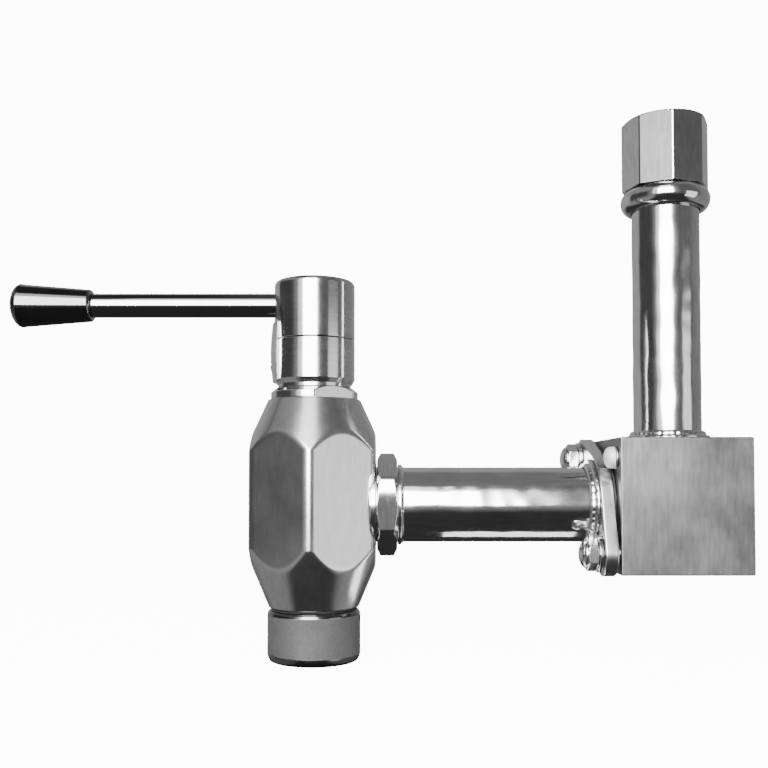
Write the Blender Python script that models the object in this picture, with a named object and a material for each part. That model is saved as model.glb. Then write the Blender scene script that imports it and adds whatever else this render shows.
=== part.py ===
"""Angle plug valve with a lever, an outlet arm, a square elbow block and a riser with a coupling nut.

Lengths are in millimetres and become metres in the meshes. The origin is the centre of the inlet
socket's mouth. +Z runs up the stem, +X runs along the outlet pipe, and -Y is the front.
"""

import math

import bmesh
import bpy

MM = 0.001
GAP = 0.3                       # free space between neighbouring pieces
FULL_TURN = 360.0
SMOOTH_ANGLE = math.radians(35.0)
OVERRUN = 3.0                   # how far a cutting tool runs past the face it enters
OVERLAP = 1.0                   # how far two shapes run into each other before they are joined

# Body: a hexagonal bar, turned to a cone at both ends
HEX_FLATS = 56.0
CORNER_TURNED = 31.65           # radius to which the bar's six corners are turned
BODY_BOTTOM, BODY_BOTTOM_RADIUS = 24.3, 20.4
BODY_TOP, BODY_TOP_RADIUS = 117.3, 21.0
CONE_LOW_END, CONE_HIGH_START = 51.0, 94.0
OUTLET_HEIGHT = 70.0
FLOW_RADIUS = 11.0

# Inlet socket
SOCKET_RADIUS, SOCKET_TOP = 21.0, 23.1
TUBE_POCKET_RADIUS, TUBE_POCKET_DEPTH = 15.15, 14.0
SPIGOT_RADIUS, SPIGOT_TOP = 15.5, 35.5
INLET_GASKET_RADIUS = 18.5

# Plug, a slow taper that is wider at the top, and its sleeve
PLUG_BOTTOM, PLUG_TOP = 46.8, 94.0
PLUG_BOTTOM_RADIUS, PLUG_TOP_RADIUS = 13.5, 15.5
PORT_RADIUS, PORT_TOP = 9.5, 76.0
SLEEVE_WALL = 1.6
CAVITY_BOTTOM, CAVITY_TOP = 46.2, 96.0
THRUST_RADIUS, THRUST_THICK = 15.0, 1.6
SPRING_INNER_RADIUS, SPRING_OUTER_RADIUS = 9.0, 15.2
SPRING_THICK, SPRING_RISE = 1.2, 1.5

# Stem and its seals
STEM_RADIUS, STEM_HEAD_RADIUS = 6.0, 8.2
STEM_HEAD_TOP = 104.0
STEM_SQUARE, STEM_SQUARE_START, STEM_TOP = 8.3, 145.8, 162.7
TANG_WIDTH, TANG_LENGTH, TANG_BOTTOM = 6.0, 15.0, 88.6
STEM_WASHER_THICK, STEM_SEAT = 1.2, 105.8
O_RING_HEIGHT, O_RING_WIRE, O_RING_SIDE_ROOM = 108.1, 0.7, 0.4
PACKING_BORE_RADIUS = 10.3
PACKING_RINGS, PACKING_START, PACKING_THICK = 3, 112.3, 4.0
FOLLOWER_TIP_RADIUS, FOLLOWER_RISE = 9.6, 1.2
GLAND_NUT_HEIGHT, GLAND_SLOT_WIDTH, GLAND_SLOT_DEPTH = 8.0, 4.0, 3.0

# Bonnet: thread spigot, collar with two wrench flats, and neck
BONNET_BOTTOM, BONNET_SPIGOT_RADIUS = 99.2, 18.0
COLLAR_RADIUS, COLLAR_TOP = 19.8, 122.8
COLLAR_CHAMFER_IN, COLLAR_CHAMFER_DOWN = 2.8, 2.2
WRENCH_FLATS, WRENCH_FLAT_BEARING = 34.0, -55.0
NECK_RADIUS, NECK_BOTTOM, NECK_TOP = 18.3, 124.2, 144.2
NECK_CHAMFER = 1.1
UNDERCUT_RADIUS = 16.5
GLAND_BORE_RADIUS, GLAND_BORE_BOTTOM = 12.3, 131.0
BONNET_RING_HEIGHT, BONNET_RING_WIRE = 108.0, 0.85
BONNET_GROOVE_DEPTH, BONNET_GROOVE_WIDTH = 2.2, 2.8

# Lever hub, rod and knob. The lever points to -X, in line with the outlet, when the valve is open.
HUB_BOTTOM, HUB_TOP, HUB_RADIUS, HUB_ROUND = 144.5, 171.4, 18.3, 2.3
LEVER_HEIGHT = 160.7
LEVER_TRAVEL = 90.0
HUB_SCREW_RADIUS, HUB_SCREW_BOTTOM, HUB_SEAT, HUB_SEAT_RADIUS = 2.5, 152.7, 166.4, 7.6
HUB_SCREW_HEAD_RADIUS, HUB_SCREW_KEY_FLATS, HUB_SCREW_KEY_DEPTH = 4.3, 4.0, 2.2
HUB_WASHER_RADIUS, HUB_WASHER_THICK = 7.0, 1.0
ROD_RADIUS, ROD_THREAD_RADIUS, ROD_END = 5.5, 4.0, 101.3
ROD_SHOULDER, ROD_INNER_END = 15.3, 8.5     # distances from the stem's axis
STUD_RADIUS, STUD_LENGTH = 3.4, 16.0
KNOB_START, KNOB_END, KNOB_DOME = 101.6, 138.4, 5.0
KNOB_SMALL_RADIUS, KNOB_BIG_RADIUS = 7.4, 10.0
INSERT_RADIUS, INSERT_END = 5.2, 119.3

# Stop strip: fixed to the neck at -X, it stands in a recess of the hub's lower edge
STRIP_BEARING, STRIP_HALF_ANGLE, STRIP_SIDE_ROOM = 180.0, 34.0, 1.0
STRIP_INNER_RADIUS, STRIP_OUTER_RADIUS, STRIP_BOW = 16.9, 19.1, 0.9
STRIP_BOTTOM, STRIP_TOP = 125.4, 152.0
STRIP_SCREW_HEIGHT, STRIP_SCREW_RADIUS = 133.5, 1.5
STRIP_SCREW_SEAT, STRIP_SCREW_TIP = 19.85, 13.7     # distances from the stem's axis
STRIP_SCREW_CONE = 1.7

# Outlet pipe, its lock nut and the washer under the nut
PIPE_RADIUS, PIPE_BORE_RADIUS = 16.85, 13.5
PIPE_START, PIPE_END = 20.8, 139.0
SPOT_FACE, SPOT_FACE_RADIUS = 25.3, 19.3
LOCK_NUT_FLATS, LOCK_NUT_START, LOCK_NUT_END = 41.0, 28.5, 37.6
LOCK_NUT_TURNED = 23.2
LOCK_NUT_CHAMFER = 1.5
PIPE_STEP_END, PIPE_STEP_RADIUS, PIPE_STEP_SLOPE = 40.4, 18.2, 1.2

# Oval flange, held to the block by two bolts on one diagonal
FLANGE_START, FLANGE_END, FLANGE_RADIUS = 125.2, 131.0, 22.5
LOBE_OFFSET, LOBE_RADIUS = 20.8, 9.6
LOBE_BEARING = 135.0            # measured in the flange's own plane, whose X points down
BOLT_RADIUS, BOLT_HEAD_FLATS, BOLT_HEAD_LENGTH, BOLT_END = 3.85, 13.0, 4.6, 146.0
BOLT_DOME_RADIUS, BOLT_DOME_LENGTH = 6.0, 3.1
WASHER_RADIUS, WASHER_THICK = 8.0, 1.6
FLANGE_GASKET_RADIUS = 21.7
WELD_FOOT, WELD_WAIST = 3.4, 1.9    # a bead's width at its foot, and halfway up its slope

# Elbow block
BLOCK_START, BLOCK_WIDTH, BLOCK_HEIGHT = 132.2, 57.0, 59.0
BLOCK_CHAMFER = 0.6
BLOCK_BORE_RADIUS = 13.0
RISER_X = BLOCK_START + BLOCK_WIDTH / 2.0
BLOCK_TOP = OUTLET_HEIGHT + BLOCK_HEIGHT / 2.0
BLOCK_DRILL_END, BLOCK_DRILL_BOTTOM = 172.0, 58.0
RISER_POCKET_BOTTOM = 92.0
VENT_HEAD_RADIUS, VENT_HEAD_LENGTH, VENT_HEAD_RIM = 4.7, 4.2, 1.4
VENT_THREAD_RADIUS, VENT_END = 3.0, 139.7
VENT_SEAL_RADIUS, VENT_SEAL_THICK = 5.0, 0.6

# Riser and coupling nut
RISER_RADIUS, RISER_BORE_RADIUS, RISER_TOP = 15.0, 12.0, 222.5
RISER_BEAD_RADIUS, RISER_BEAD_START, RISER_BEAD_END = 16.3, 216.8, 219.6
RISER_BEAD_CHAMFER = 0.5
RISER_GASKET_INNER, RISER_GASKET_OUTER, RISER_GASKET_THICK = 12.2, 16.35, 2.0
COUPLING_FLATS, COUPLING_BOTTOM, COUPLING_TOP = 36.0, 203.6, 245.3
COUPLING_BEAD_RADIUS, COUPLING_BEAD_TOP, COUPLING_BEAD_ROUND = 19.9, 213.5, 4.0
COUPLING_BORE_RADIUS, COUPLING_SHOULDER = 16.75, 213.9
COUPLING_RIM, COUPLING_SLOPE = 17.65, 0.7     # its top edge is turned to this radius, at this slope
COUPLING_SLIDE_BORE = 15.35
COUPLING_TURN = -5.5            # how far the nut is turned from corner to front

FINE, PLAIN, COARSE = 32, 24, 16   # segments of a turned piece


def clear_scene():
    for thing in list(bpy.data.objects):
        bpy.data.objects.remove(thing, do_unlink=True)


def material(name, colour, metallic, roughness):
    finish = bpy.data.materials.new(name)
    finish.use_nodes = True
    shader = finish.node_tree.nodes["Principled BSDF"]
    shader.inputs["Base Color"].default_value = (*colour, 1.0)
    shader.inputs["Metallic"].default_value = metallic
    shader.inputs["Roughness"].default_value = roughness
    finish.diffuse_color = (*colour, 1.0)
    return finish


def steel(name, grey=0.62, roughness=0.3):
    return material(name, (grey, grey, grey), 1.0, roughness)


def rubber(name):
    return material(name, (0.02, 0.02, 0.02), 0.0, 0.6)


def white_plastic(name):
    return material(name, (0.85, 0.85, 0.82), 0.0, 0.4)


def empty(name, place):
    pivot = bpy.data.objects.new(name, None)
    pivot.location = [value * MM for value in place]
    pivot.empty_display_size = 10 * MM
    bpy.context.scene.collection.objects.link(pivot)
    return pivot


def place(name, mesh, finish=None, at=(0, 0, 0), turn=(0, 0, 0), parent=None):
    piece = bpy.data.objects.new(name, mesh)
    if parent:
        piece.parent = parent
        at = [value - base / MM for value, base in zip(at, parent.location)]
    piece.location = [value * MM for value in at]
    piece.rotation_euler = [math.radians(angle) for angle in turn]
    if finish:
        mesh.materials.append(finish)
    bpy.context.scene.collection.objects.link(piece)
    return piece


def finished_mesh(name, shape):
    bmesh.ops.recalc_face_normals(shape, faces=shape.faces)
    mesh = bpy.data.meshes.new(name)
    shape.to_mesh(mesh)
    shape.free()
    mesh.shade_smooth()
    mesh.set_sharp_from_angle(angle=SMOOTH_ANGLE)
    return mesh


def turned(name, outline, segments=PLAIN, start=0.0, sweep=FULL_TURN):
    """A mesh turned about Z from a closed outline of (radius, height) points."""
    stations = segments if sweep == FULL_TURN else segments + 1
    shape = bmesh.new()
    rings = []
    for radius, height in outline:
        if radius == 0:
            rings.append([shape.verts.new((0, 0, height * MM))] * stations)
            continue
        angles = [math.radians(start + sweep * step / segments) for step in range(stations)]
        rings.append([shape.verts.new((radius * math.cos(a) * MM, radius * math.sin(a) * MM, height * MM))
                      for a in angles])
    for index, ring in enumerate(rings):
        following = rings[(index + 1) % len(rings)]
        for step in range(segments):
            after = (step + 1) % stations
            corners = dict.fromkeys((ring[step], following[step], following[after], ring[after]))
            if len(corners) > 2:
                shape.faces.new(list(corners))
    if sweep != FULL_TURN:
        shape.faces.new([ring[0] for ring in rings])
        shape.faces.new([ring[-1] for ring in rings])
    return finished_mesh(name, shape)


def ring(name, inner, outer, low, high, segments=PLAIN):
    return turned(name, [(inner, low), (outer, low), (outer, high), (inner, high)], segments)


def rod(name, radius, low, high, segments=PLAIN):
    return turned(name, [(0, low), (radius, low), (radius, high), (0, high)], segments)


def o_ring(name, inner, height, wire, segments=COARSE):
    """A round-wire ring about Z, whose section is an octagon."""
    section = arc((inner + wire, height), (wire, wire), 0, 315, 7)
    return turned(name, section, segments)


def prism(name, corners, low, high):
    """A mesh with the flat outline `corners`, standing from low to high."""
    shape = bmesh.new()
    base = shape.faces.new([shape.verts.new((x * MM, y * MM, low * MM)) for x, y in corners])
    raised = bmesh.ops.extrude_face_region(shape, geom=[base])["geom"]
    tops = [part for part in raised if isinstance(part, bmesh.types.BMVert)]
    bmesh.ops.translate(shape, verts=tops, vec=(0, 0, (high - low) * MM))
    return finished_mesh(name, shape)


def polygon(sides, flats, first_corner):
    """The corners of a regular polygon, given the distance across its flats."""
    radius = flats / 2.0 / math.cos(math.pi / sides)
    angles = [math.radians(first_corner + FULL_TURN * index / sides) for index in range(sides)]
    return [(radius * math.cos(a), radius * math.sin(a)) for a in angles]


def rectangle(width, depth, centre=(0, 0)):
    return [(centre[0] + sx * width / 2, centre[1] + sy * depth / 2)
            for sx, sy in ((-1, -1), (1, -1), (1, 1), (-1, 1))]


def arc(centre, radii, first, last, steps):
    """Points on an elliptic arc from angle first to angle last, in degrees."""
    angles = [math.radians(first + (last - first) * step / steps) for step in range(steps + 1)]
    return [(centre[0] + radii[0] * math.cos(a), centre[1] + radii[1] * math.sin(a)) for a in angles]


def tool(mesh, at=(0, 0, 0), turn=(0, 0, 0), parent=None):
    """A hidden object that only shapes its neighbours."""
    shaper = place(mesh.name, mesh, at=at, turn=turn, parent=parent)
    shaper.hide_render = True
    shaper.display_type = "WIRE"
    return shaper


def combine(target, operation, *shapers):
    for shaper in shapers:
        step = target.modifiers.new(shaper.name, "BOOLEAN")
        step.operation = operation
        step.object = shaper
        step.solver = "EXACT"


def cut(target, *shapers):
    combine(target, "DIFFERENCE", *shapers)


ALONG_X = (0, 90, 0)            # turns a piece's own Z axis to +X
OUTLET = (0, 0, OUTLET_HEIGHT)
RISER = (RISER_X, 0, 0)


def plug_radius(height):
    rise = (height - PLUG_BOTTOM) / (PLUG_TOP - PLUG_BOTTOM)
    return PLUG_BOTTOM_RADIUS + (PLUG_TOP_RADIUS - PLUG_BOTTOM_RADIUS) * rise


def make_body():
    body = place("valve_body", prism("valve_body", polygon(6, HEX_FLATS, 30), BODY_BOTTOM, BODY_TOP),
                 steel("brushed_steel_body"))
    cones = turned("body_cones", [(0, BODY_BOTTOM), (BODY_BOTTOM_RADIUS, BODY_BOTTOM),
                                  (CORNER_TURNED, CONE_LOW_END), (CORNER_TURNED, CONE_HIGH_START),
                                  (BODY_TOP_RADIUS, BODY_TOP), (0, BODY_TOP)], FINE)
    combine(body, "INTERSECT", tool(cones))
    around_sleeve = SLEEVE_WALL + 2 * GAP
    cavity = turned("body_cavity", [
        (0, BODY_BOTTOM - OVERRUN), (SPIGOT_RADIUS + GAP, BODY_BOTTOM - OVERRUN),
        (SPIGOT_RADIUS + GAP, SPIGOT_TOP + GAP), (FLOW_RADIUS, SPIGOT_TOP + GAP),
        (FLOW_RADIUS, CAVITY_BOTTOM), (plug_radius(CAVITY_BOTTOM) + around_sleeve, CAVITY_BOTTOM),
        (plug_radius(CAVITY_TOP) + around_sleeve, CAVITY_TOP), (BONNET_SPIGOT_RADIUS + GAP, CAVITY_TOP),
        (BONNET_SPIGOT_RADIUS + GAP, BODY_TOP + OVERRUN), (0, BODY_TOP + OVERRUN)], PLAIN)
    outlet = turned("body_outlet", [
        (0, PLUG_BOTTOM_RADIUS), (FLOW_RADIUS, PLUG_BOTTOM_RADIUS), (FLOW_RADIUS, PIPE_START - GAP),
        (PIPE_RADIUS + GAP, PIPE_START - GAP), (PIPE_RADIUS + GAP, SPOT_FACE),
        (SPOT_FACE_RADIUS, SPOT_FACE), (SPOT_FACE_RADIUS, HEX_FLATS / 2 + OVERRUN),
        (0, HEX_FLATS / 2 + OVERRUN)], FINE)
    cut(body, tool(cavity), tool(outlet, OUTLET, ALONG_X))


def make_inlet():
    edge_in, edge_up, shoulder_in, shoulder_down = 2.4, 4.0, 1.8, 2.4
    edge = arc((SOCKET_RADIUS - edge_in, edge_up), (edge_in, edge_up), -90, 0, 4)
    shoulder = arc((SOCKET_RADIUS - shoulder_in, SOCKET_TOP - shoulder_down),
                   (shoulder_in, shoulder_down), 0, 90, 3)
    socket = turned("inlet_socket", [
        (TUBE_POCKET_RADIUS, 0), *edge, *shoulder, (SPIGOT_RADIUS, SOCKET_TOP), (SPIGOT_RADIUS, SPIGOT_TOP),
        (FLOW_RADIUS, SPIGOT_TOP), (FLOW_RADIUS, TUBE_POCKET_DEPTH),
        (TUBE_POCKET_RADIUS, TUBE_POCKET_DEPTH)], FINE)
    place("inlet_socket", socket, steel("brushed_steel_socket", grey=0.58))
    gasket = ring("inlet_gasket", SPIGOT_RADIUS + GAP, INLET_GASKET_RADIUS,
                  SOCKET_TOP + GAP, BODY_BOTTOM - GAP)
    place("inlet_gasket", gasket, rubber("inlet_gasket_rubber"))


def make_plug(lever):
    plug = place("plug", turned("plug", [
        (0, PLUG_BOTTOM), (PLUG_BOTTOM_RADIUS, PLUG_BOTTOM), (PLUG_TOP_RADIUS, PLUG_TOP), (0, PLUG_TOP)]),
        steel("plug_steel", grey=0.7, roughness=0.12), parent=lever)
    upright = rod("plug_port_up", PORT_RADIUS, PLUG_BOTTOM - OVERRUN, PORT_TOP)
    sideways = rod("plug_port_side", PORT_RADIUS, 0, PLUG_TOP_RADIUS + OVERRUN)
    slot = prism("plug_slot", rectangle(TANG_LENGTH + 2 * GAP, TANG_WIDTH + 2 * GAP),
                 TANG_BOTTOM - GAP, PLUG_TOP + OVERRUN)
    cut(plug, tool(upright, parent=lever), tool(sideways, OUTLET, ALONG_X, lever), tool(slot, parent=lever))

    inside, outside = GAP, GAP + SLEEVE_WALL
    low, high = CAVITY_BOTTOM + GAP, PLUG_TOP
    sleeve = place("plug_sleeve", turned("plug_sleeve", [
        (plug_radius(low) + inside, low), (plug_radius(low) + outside, low),
        (plug_radius(high) + outside, high), (plug_radius(high) + inside, high)]),
        white_plastic("sleeve_plastic"))
    window = rod("sleeve_window", PORT_RADIUS + GAP, OVERRUN, PLUG_TOP_RADIUS + SLEEVE_WALL + OVERRUN, COARSE)
    cut(sleeve, tool(window, OUTLET, ALONG_X))

    washer_low = PLUG_TOP + GAP
    washer = ring("thrust_washer", STEM_HEAD_RADIUS + GAP, THRUST_RADIUS,
                  washer_low, washer_low + THRUST_THICK)
    place("thrust_washer", washer, steel("thrust_washer_steel"), parent=lever)
    spring_low = washer_low + THRUST_THICK + GAP
    spring = turned("disc_spring", [
        (SPRING_INNER_RADIUS, spring_low + SPRING_RISE), (SPRING_OUTER_RADIUS, spring_low),
        (SPRING_OUTER_RADIUS, spring_low + SPRING_THICK),
        (SPRING_INNER_RADIUS, spring_low + SPRING_RISE + SPRING_THICK)])
    place("disc_spring", spring, steel("disc_spring_steel", grey=0.45))


def make_stem(lever):
    groove_half = O_RING_WIRE + O_RING_SIDE_ROOM
    groove_low, groove_high = O_RING_HEIGHT - groove_half, O_RING_HEIGHT + groove_half
    groove_radius = STEM_RADIUS - 2 * O_RING_WIRE
    head_low = PLUG_TOP + GAP
    stem = place("stem", turned("stem", [
        (0, head_low), (STEM_HEAD_RADIUS, head_low), (STEM_HEAD_RADIUS, STEM_HEAD_TOP),
        (STEM_RADIUS, STEM_HEAD_TOP), (STEM_RADIUS, groove_low), (groove_radius, groove_low),
        (groove_radius, groove_high), (STEM_RADIUS, groove_high), (STEM_RADIUS, STEM_SQUARE_START),
        (0, STEM_SQUARE_START)], COARSE), steel("stem_steel"), parent=lever)
    tang = prism("stem_tang", rectangle(TANG_LENGTH, TANG_WIDTH), TANG_BOTTOM, head_low + OVERLAP)
    square = prism("stem_square", rectangle(STEM_SQUARE, STEM_SQUARE), STEM_SQUARE_START - OVERLAP, STEM_TOP)
    hole_end = HUB_SCREW_BOTTOM - OVERLAP
    hole = rod("stem_screw_hole", HUB_SCREW_RADIUS + GAP, hole_end, STEM_TOP + OVERRUN, COARSE)
    combine(stem, "UNION", tool(tang, parent=lever), tool(square, parent=lever))
    cut(stem, tool(hole, parent=lever))

    washer_low = STEM_HEAD_TOP + GAP
    washer = ring("stem_washer", STEM_RADIUS + GAP, STEM_HEAD_RADIUS, washer_low,
                  washer_low + STEM_WASHER_THICK, COARSE)
    place("stem_washer", washer, white_plastic("stem_washer_plastic"), parent=lever)
    place("stem_o_ring", o_ring("stem_o_ring", groove_radius + GAP, O_RING_HEIGHT, O_RING_WIRE),
          rubber("stem_o_ring_rubber"), parent=lever)

    for index in range(PACKING_RINGS):
        low = PACKING_START + index * (PACKING_THICK + GAP)
        name = f"packing_ring_{index + 1}"
        packing = ring(name, STEM_RADIUS + GAP, PACKING_BORE_RADIUS - GAP, low, low + PACKING_THICK, COARSE)
        place(name, packing, white_plastic(f"{name}_plastic"))

    follower_low = PACKING_START + PACKING_RINGS * (PACKING_THICK + GAP)
    follower_high = GLAND_BORE_BOTTOM + FOLLOWER_RISE
    follower = turned("gland_follower", [
        (STEM_RADIUS + GAP, follower_low), (PACKING_BORE_RADIUS - GAP, follower_low),
        (PACKING_BORE_RADIUS - GAP, GLAND_BORE_BOTTOM), (FOLLOWER_TIP_RADIUS, follower_high),
        (STEM_RADIUS + GAP, follower_high)], COARSE)
    place("gland_follower", follower, material("gland_follower_bronze", (0.5, 0.33, 0.16), 1.0, 0.35))
    nut_low = follower_high + GAP
    nut_high = nut_low + GLAND_NUT_HEIGHT
    nut = place("gland_nut", ring("gland_nut", STEM_RADIUS + GAP, GLAND_BORE_RADIUS - GAP, nut_low, nut_high),
                steel("gland_nut_steel", grey=0.5))
    slot = prism("gland_nut_slot", rectangle(GLAND_SLOT_WIDTH, 2 * GLAND_BORE_RADIUS),
                 nut_high - GLAND_SLOT_DEPTH, nut_high + OVERRUN)
    cut(nut, tool(slot))


def strip_outline(inner, outer, bow, low, high):
    """The stop strip's section, its outer side bowed outwards between its ends."""
    steps = 6
    outside = []
    for step in range(steps + 1):
        along = step / steps
        outside.append((outer + bow * math.sin(math.pi * along), low + (high - low) * along))
    return [(inner, low), *outside, (inner, high)]


def countersunk(name, radius, tip, rise=0.0):
    """The stop strip's screw, along X with its head at -X. With a rise over its head it is the hole's tool."""
    seat, head_radius = -STRIP_SCREW_SEAT, radius + STRIP_SCREW_CONE
    side = [(head_radius, seat - rise)] if rise else []
    return turned(name, [(0, -tip), (radius, -tip), (radius, seat + STRIP_SCREW_CONE), (head_radius, seat),
                         *side, (0, seat - rise)], COARSE)


def make_bonnet():
    groove_radius = BONNET_SPIGOT_RADIUS - BONNET_GROOVE_DEPTH
    groove_low = BONNET_RING_HEIGHT - BONNET_GROOVE_WIDTH / 2
    groove_high = BONNET_RING_HEIGHT + BONNET_GROOVE_WIDTH / 2
    bonnet = place("bonnet", turned("bonnet", [
        (STEM_HEAD_RADIUS + GAP, BONNET_BOTTOM), (BONNET_SPIGOT_RADIUS, BONNET_BOTTOM),
        (BONNET_SPIGOT_RADIUS, groove_low), (groove_radius, groove_low),
        (groove_radius, groove_high), (BONNET_SPIGOT_RADIUS, groove_high),
        (BONNET_SPIGOT_RADIUS, BODY_TOP + GAP), (COLLAR_RADIUS, BODY_TOP + GAP),
        (COLLAR_RADIUS, COLLAR_TOP - COLLAR_CHAMFER_DOWN), (COLLAR_RADIUS - COLLAR_CHAMFER_IN, COLLAR_TOP),
        (UNDERCUT_RADIUS, COLLAR_TOP), (UNDERCUT_RADIUS, NECK_BOTTOM),
        (NECK_RADIUS - NECK_CHAMFER, NECK_BOTTOM), (NECK_RADIUS, NECK_BOTTOM + 2 * NECK_CHAMFER),
        (NECK_RADIUS, NECK_TOP), (GLAND_BORE_RADIUS, NECK_TOP), (GLAND_BORE_RADIUS, GLAND_BORE_BOTTOM),
        (PACKING_BORE_RADIUS, GLAND_BORE_BOTTOM), (PACKING_BORE_RADIUS, PACKING_START - GAP),
        (STEM_RADIUS + 2 * GAP, PACKING_START - GAP), (STEM_RADIUS + 2 * GAP, STEM_SEAT),
        (STEM_HEAD_RADIUS + GAP, STEM_SEAT)], FINE), steel("brushed_steel_bonnet"))
    flat_depth = 6.0
    for index, bearing in enumerate((WRENCH_FLAT_BEARING, WRENCH_FLAT_BEARING + 180)):
        block = rectangle(flat_depth, 2 * COLLAR_RADIUS, ((WRENCH_FLATS + flat_depth) / 2, 0))
        cut(bonnet, tool(prism(f"wrench_flat_{index + 1}", block, BODY_TOP, COLLAR_TOP + GAP),
                         turn=(0, 0, bearing)))
    pocket = turned("strip_pocket", [
        (STRIP_INNER_RADIUS - GAP, STRIP_BOTTOM - GAP), (NECK_RADIUS + OVERRUN, STRIP_BOTTOM - GAP),
        (NECK_RADIUS + OVERRUN, NECK_TOP + OVERRUN), (STRIP_INNER_RADIUS - GAP, NECK_TOP + OVERRUN)],
        12, STRIP_BEARING - STRIP_HALF_ANGLE - STRIP_SIDE_ROOM, 2 * (STRIP_HALF_ANGLE + STRIP_SIDE_ROOM))
    screw_at = (0, 0, STRIP_SCREW_HEIGHT)
    thread = rod("strip_screw_thread", STRIP_SCREW_RADIUS + GAP, -STRIP_INNER_RADIUS - OVERRUN,
                 -STRIP_SCREW_TIP + GAP, COARSE)
    cut(bonnet, tool(pocket), tool(thread, screw_at, ALONG_X))
    sealing = o_ring("bonnet_o_ring", groove_radius + GAP, BONNET_RING_HEIGHT, BONNET_RING_WIRE, PLAIN)
    place("bonnet_o_ring", sealing, rubber("bonnet_o_ring_rubber"))

    strip = place("stop_strip", turned(
        "stop_strip",
        strip_outline(STRIP_INNER_RADIUS, STRIP_OUTER_RADIUS, STRIP_BOW, STRIP_BOTTOM, STRIP_TOP),
        14, STRIP_BEARING - STRIP_HALF_ANGLE, 2 * STRIP_HALF_ANGLE), steel("stop_strip_steel", grey=0.7))
    hole = countersunk("strip_screw_hole", STRIP_SCREW_RADIUS + GAP, STRIP_SCREW_TIP, OVERRUN)
    cut(strip, tool(hole, screw_at, ALONG_X))
    screw = countersunk("stop_screw", STRIP_SCREW_RADIUS, STRIP_SCREW_TIP)
    place("stop_screw", screw, steel("stop_screw_steel", grey=0.4), screw_at, ALONG_X)


def make_hub(lever):
    relief_top = HUB_BOTTOM + 2.0
    top_edge = arc((HUB_RADIUS - HUB_ROUND, HUB_TOP - HUB_ROUND), (HUB_ROUND, HUB_ROUND), 0, 90, 4)
    hub = place("lever_hub", turned("lever_hub", [
        (GLAND_BORE_RADIUS, HUB_BOTTOM), (HUB_RADIUS, HUB_BOTTOM), *top_edge,
        (HUB_SEAT_RADIUS, HUB_TOP), (HUB_SEAT_RADIUS, HUB_SEAT), (HUB_SCREW_RADIUS + GAP, HUB_SEAT),
        (HUB_SCREW_RADIUS + GAP, relief_top), (GLAND_BORE_RADIUS, relief_top)], FINE),
        steel("brushed_steel_hub", grey=0.65), parent=lever)
    square = prism("hub_square", rectangle(STEM_SQUARE + 2 * GAP, STEM_SQUARE + 2 * GAP),
                   HUB_BOTTOM - OVERRUN, STEM_TOP + GAP)
    recess_start = STRIP_BEARING - LEVER_TRAVEL - STRIP_HALF_ANGLE - STRIP_SIDE_ROOM
    recess = turned("hub_stop_recess", [
        (STRIP_INNER_RADIUS - GAP, HUB_BOTTOM - OVERRUN), (HUB_RADIUS + OVERRUN, HUB_BOTTOM - OVERRUN),
        (HUB_RADIUS + OVERRUN, STRIP_TOP + GAP), (STRIP_INNER_RADIUS - GAP, STRIP_TOP + GAP)],
        24, recess_start, LEVER_TRAVEL + 2 * (STRIP_HALF_ANGLE + STRIP_SIDE_ROOM))
    shoulder, inner_end = -ROD_SHOULDER + GAP, -ROD_INNER_END + GAP
    rod_hole = turned("hub_rod_hole", [
        (0, -HUB_RADIUS - OVERRUN), (ROD_RADIUS + GAP, -HUB_RADIUS - OVERRUN), (ROD_RADIUS + GAP, shoulder),
        (ROD_THREAD_RADIUS + GAP, shoulder), (ROD_THREAD_RADIUS + GAP, inner_end), (0, inner_end)], PLAIN)
    cut(hub, tool(square, parent=lever), tool(recess, parent=lever),
        tool(rod_hole, (0, 0, LEVER_HEIGHT), ALONG_X, lever))

    washer_high = HUB_SEAT + GAP + HUB_WASHER_THICK
    washer = ring("hub_washer", HUB_SCREW_RADIUS + GAP, HUB_WASHER_RADIUS,
                  HUB_SEAT + GAP, washer_high, COARSE)
    place("hub_washer", washer, steel("hub_washer_steel", grey=0.6), parent=lever)
    head_low, head_high, edge = washer_high + GAP, HUB_TOP - GAP, 0.5
    screw = place("hub_screw", turned("hub_screw", [
        (0, HUB_SCREW_BOTTOM), (HUB_SCREW_RADIUS, HUB_SCREW_BOTTOM), (HUB_SCREW_RADIUS, head_low),
        (HUB_SCREW_HEAD_RADIUS, head_low), (HUB_SCREW_HEAD_RADIUS, head_high - edge),
        (HUB_SCREW_HEAD_RADIUS - edge, head_high), (0, head_high)], COARSE),
        steel("hub_screw_steel", grey=0.35), parent=lever)
    key = prism("hub_screw_key", polygon(6, HUB_SCREW_KEY_FLATS, 0), head_high - HUB_SCREW_KEY_DEPTH,
                head_high + OVERRUN)
    cut(screw, tool(key, parent=lever))


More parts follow.
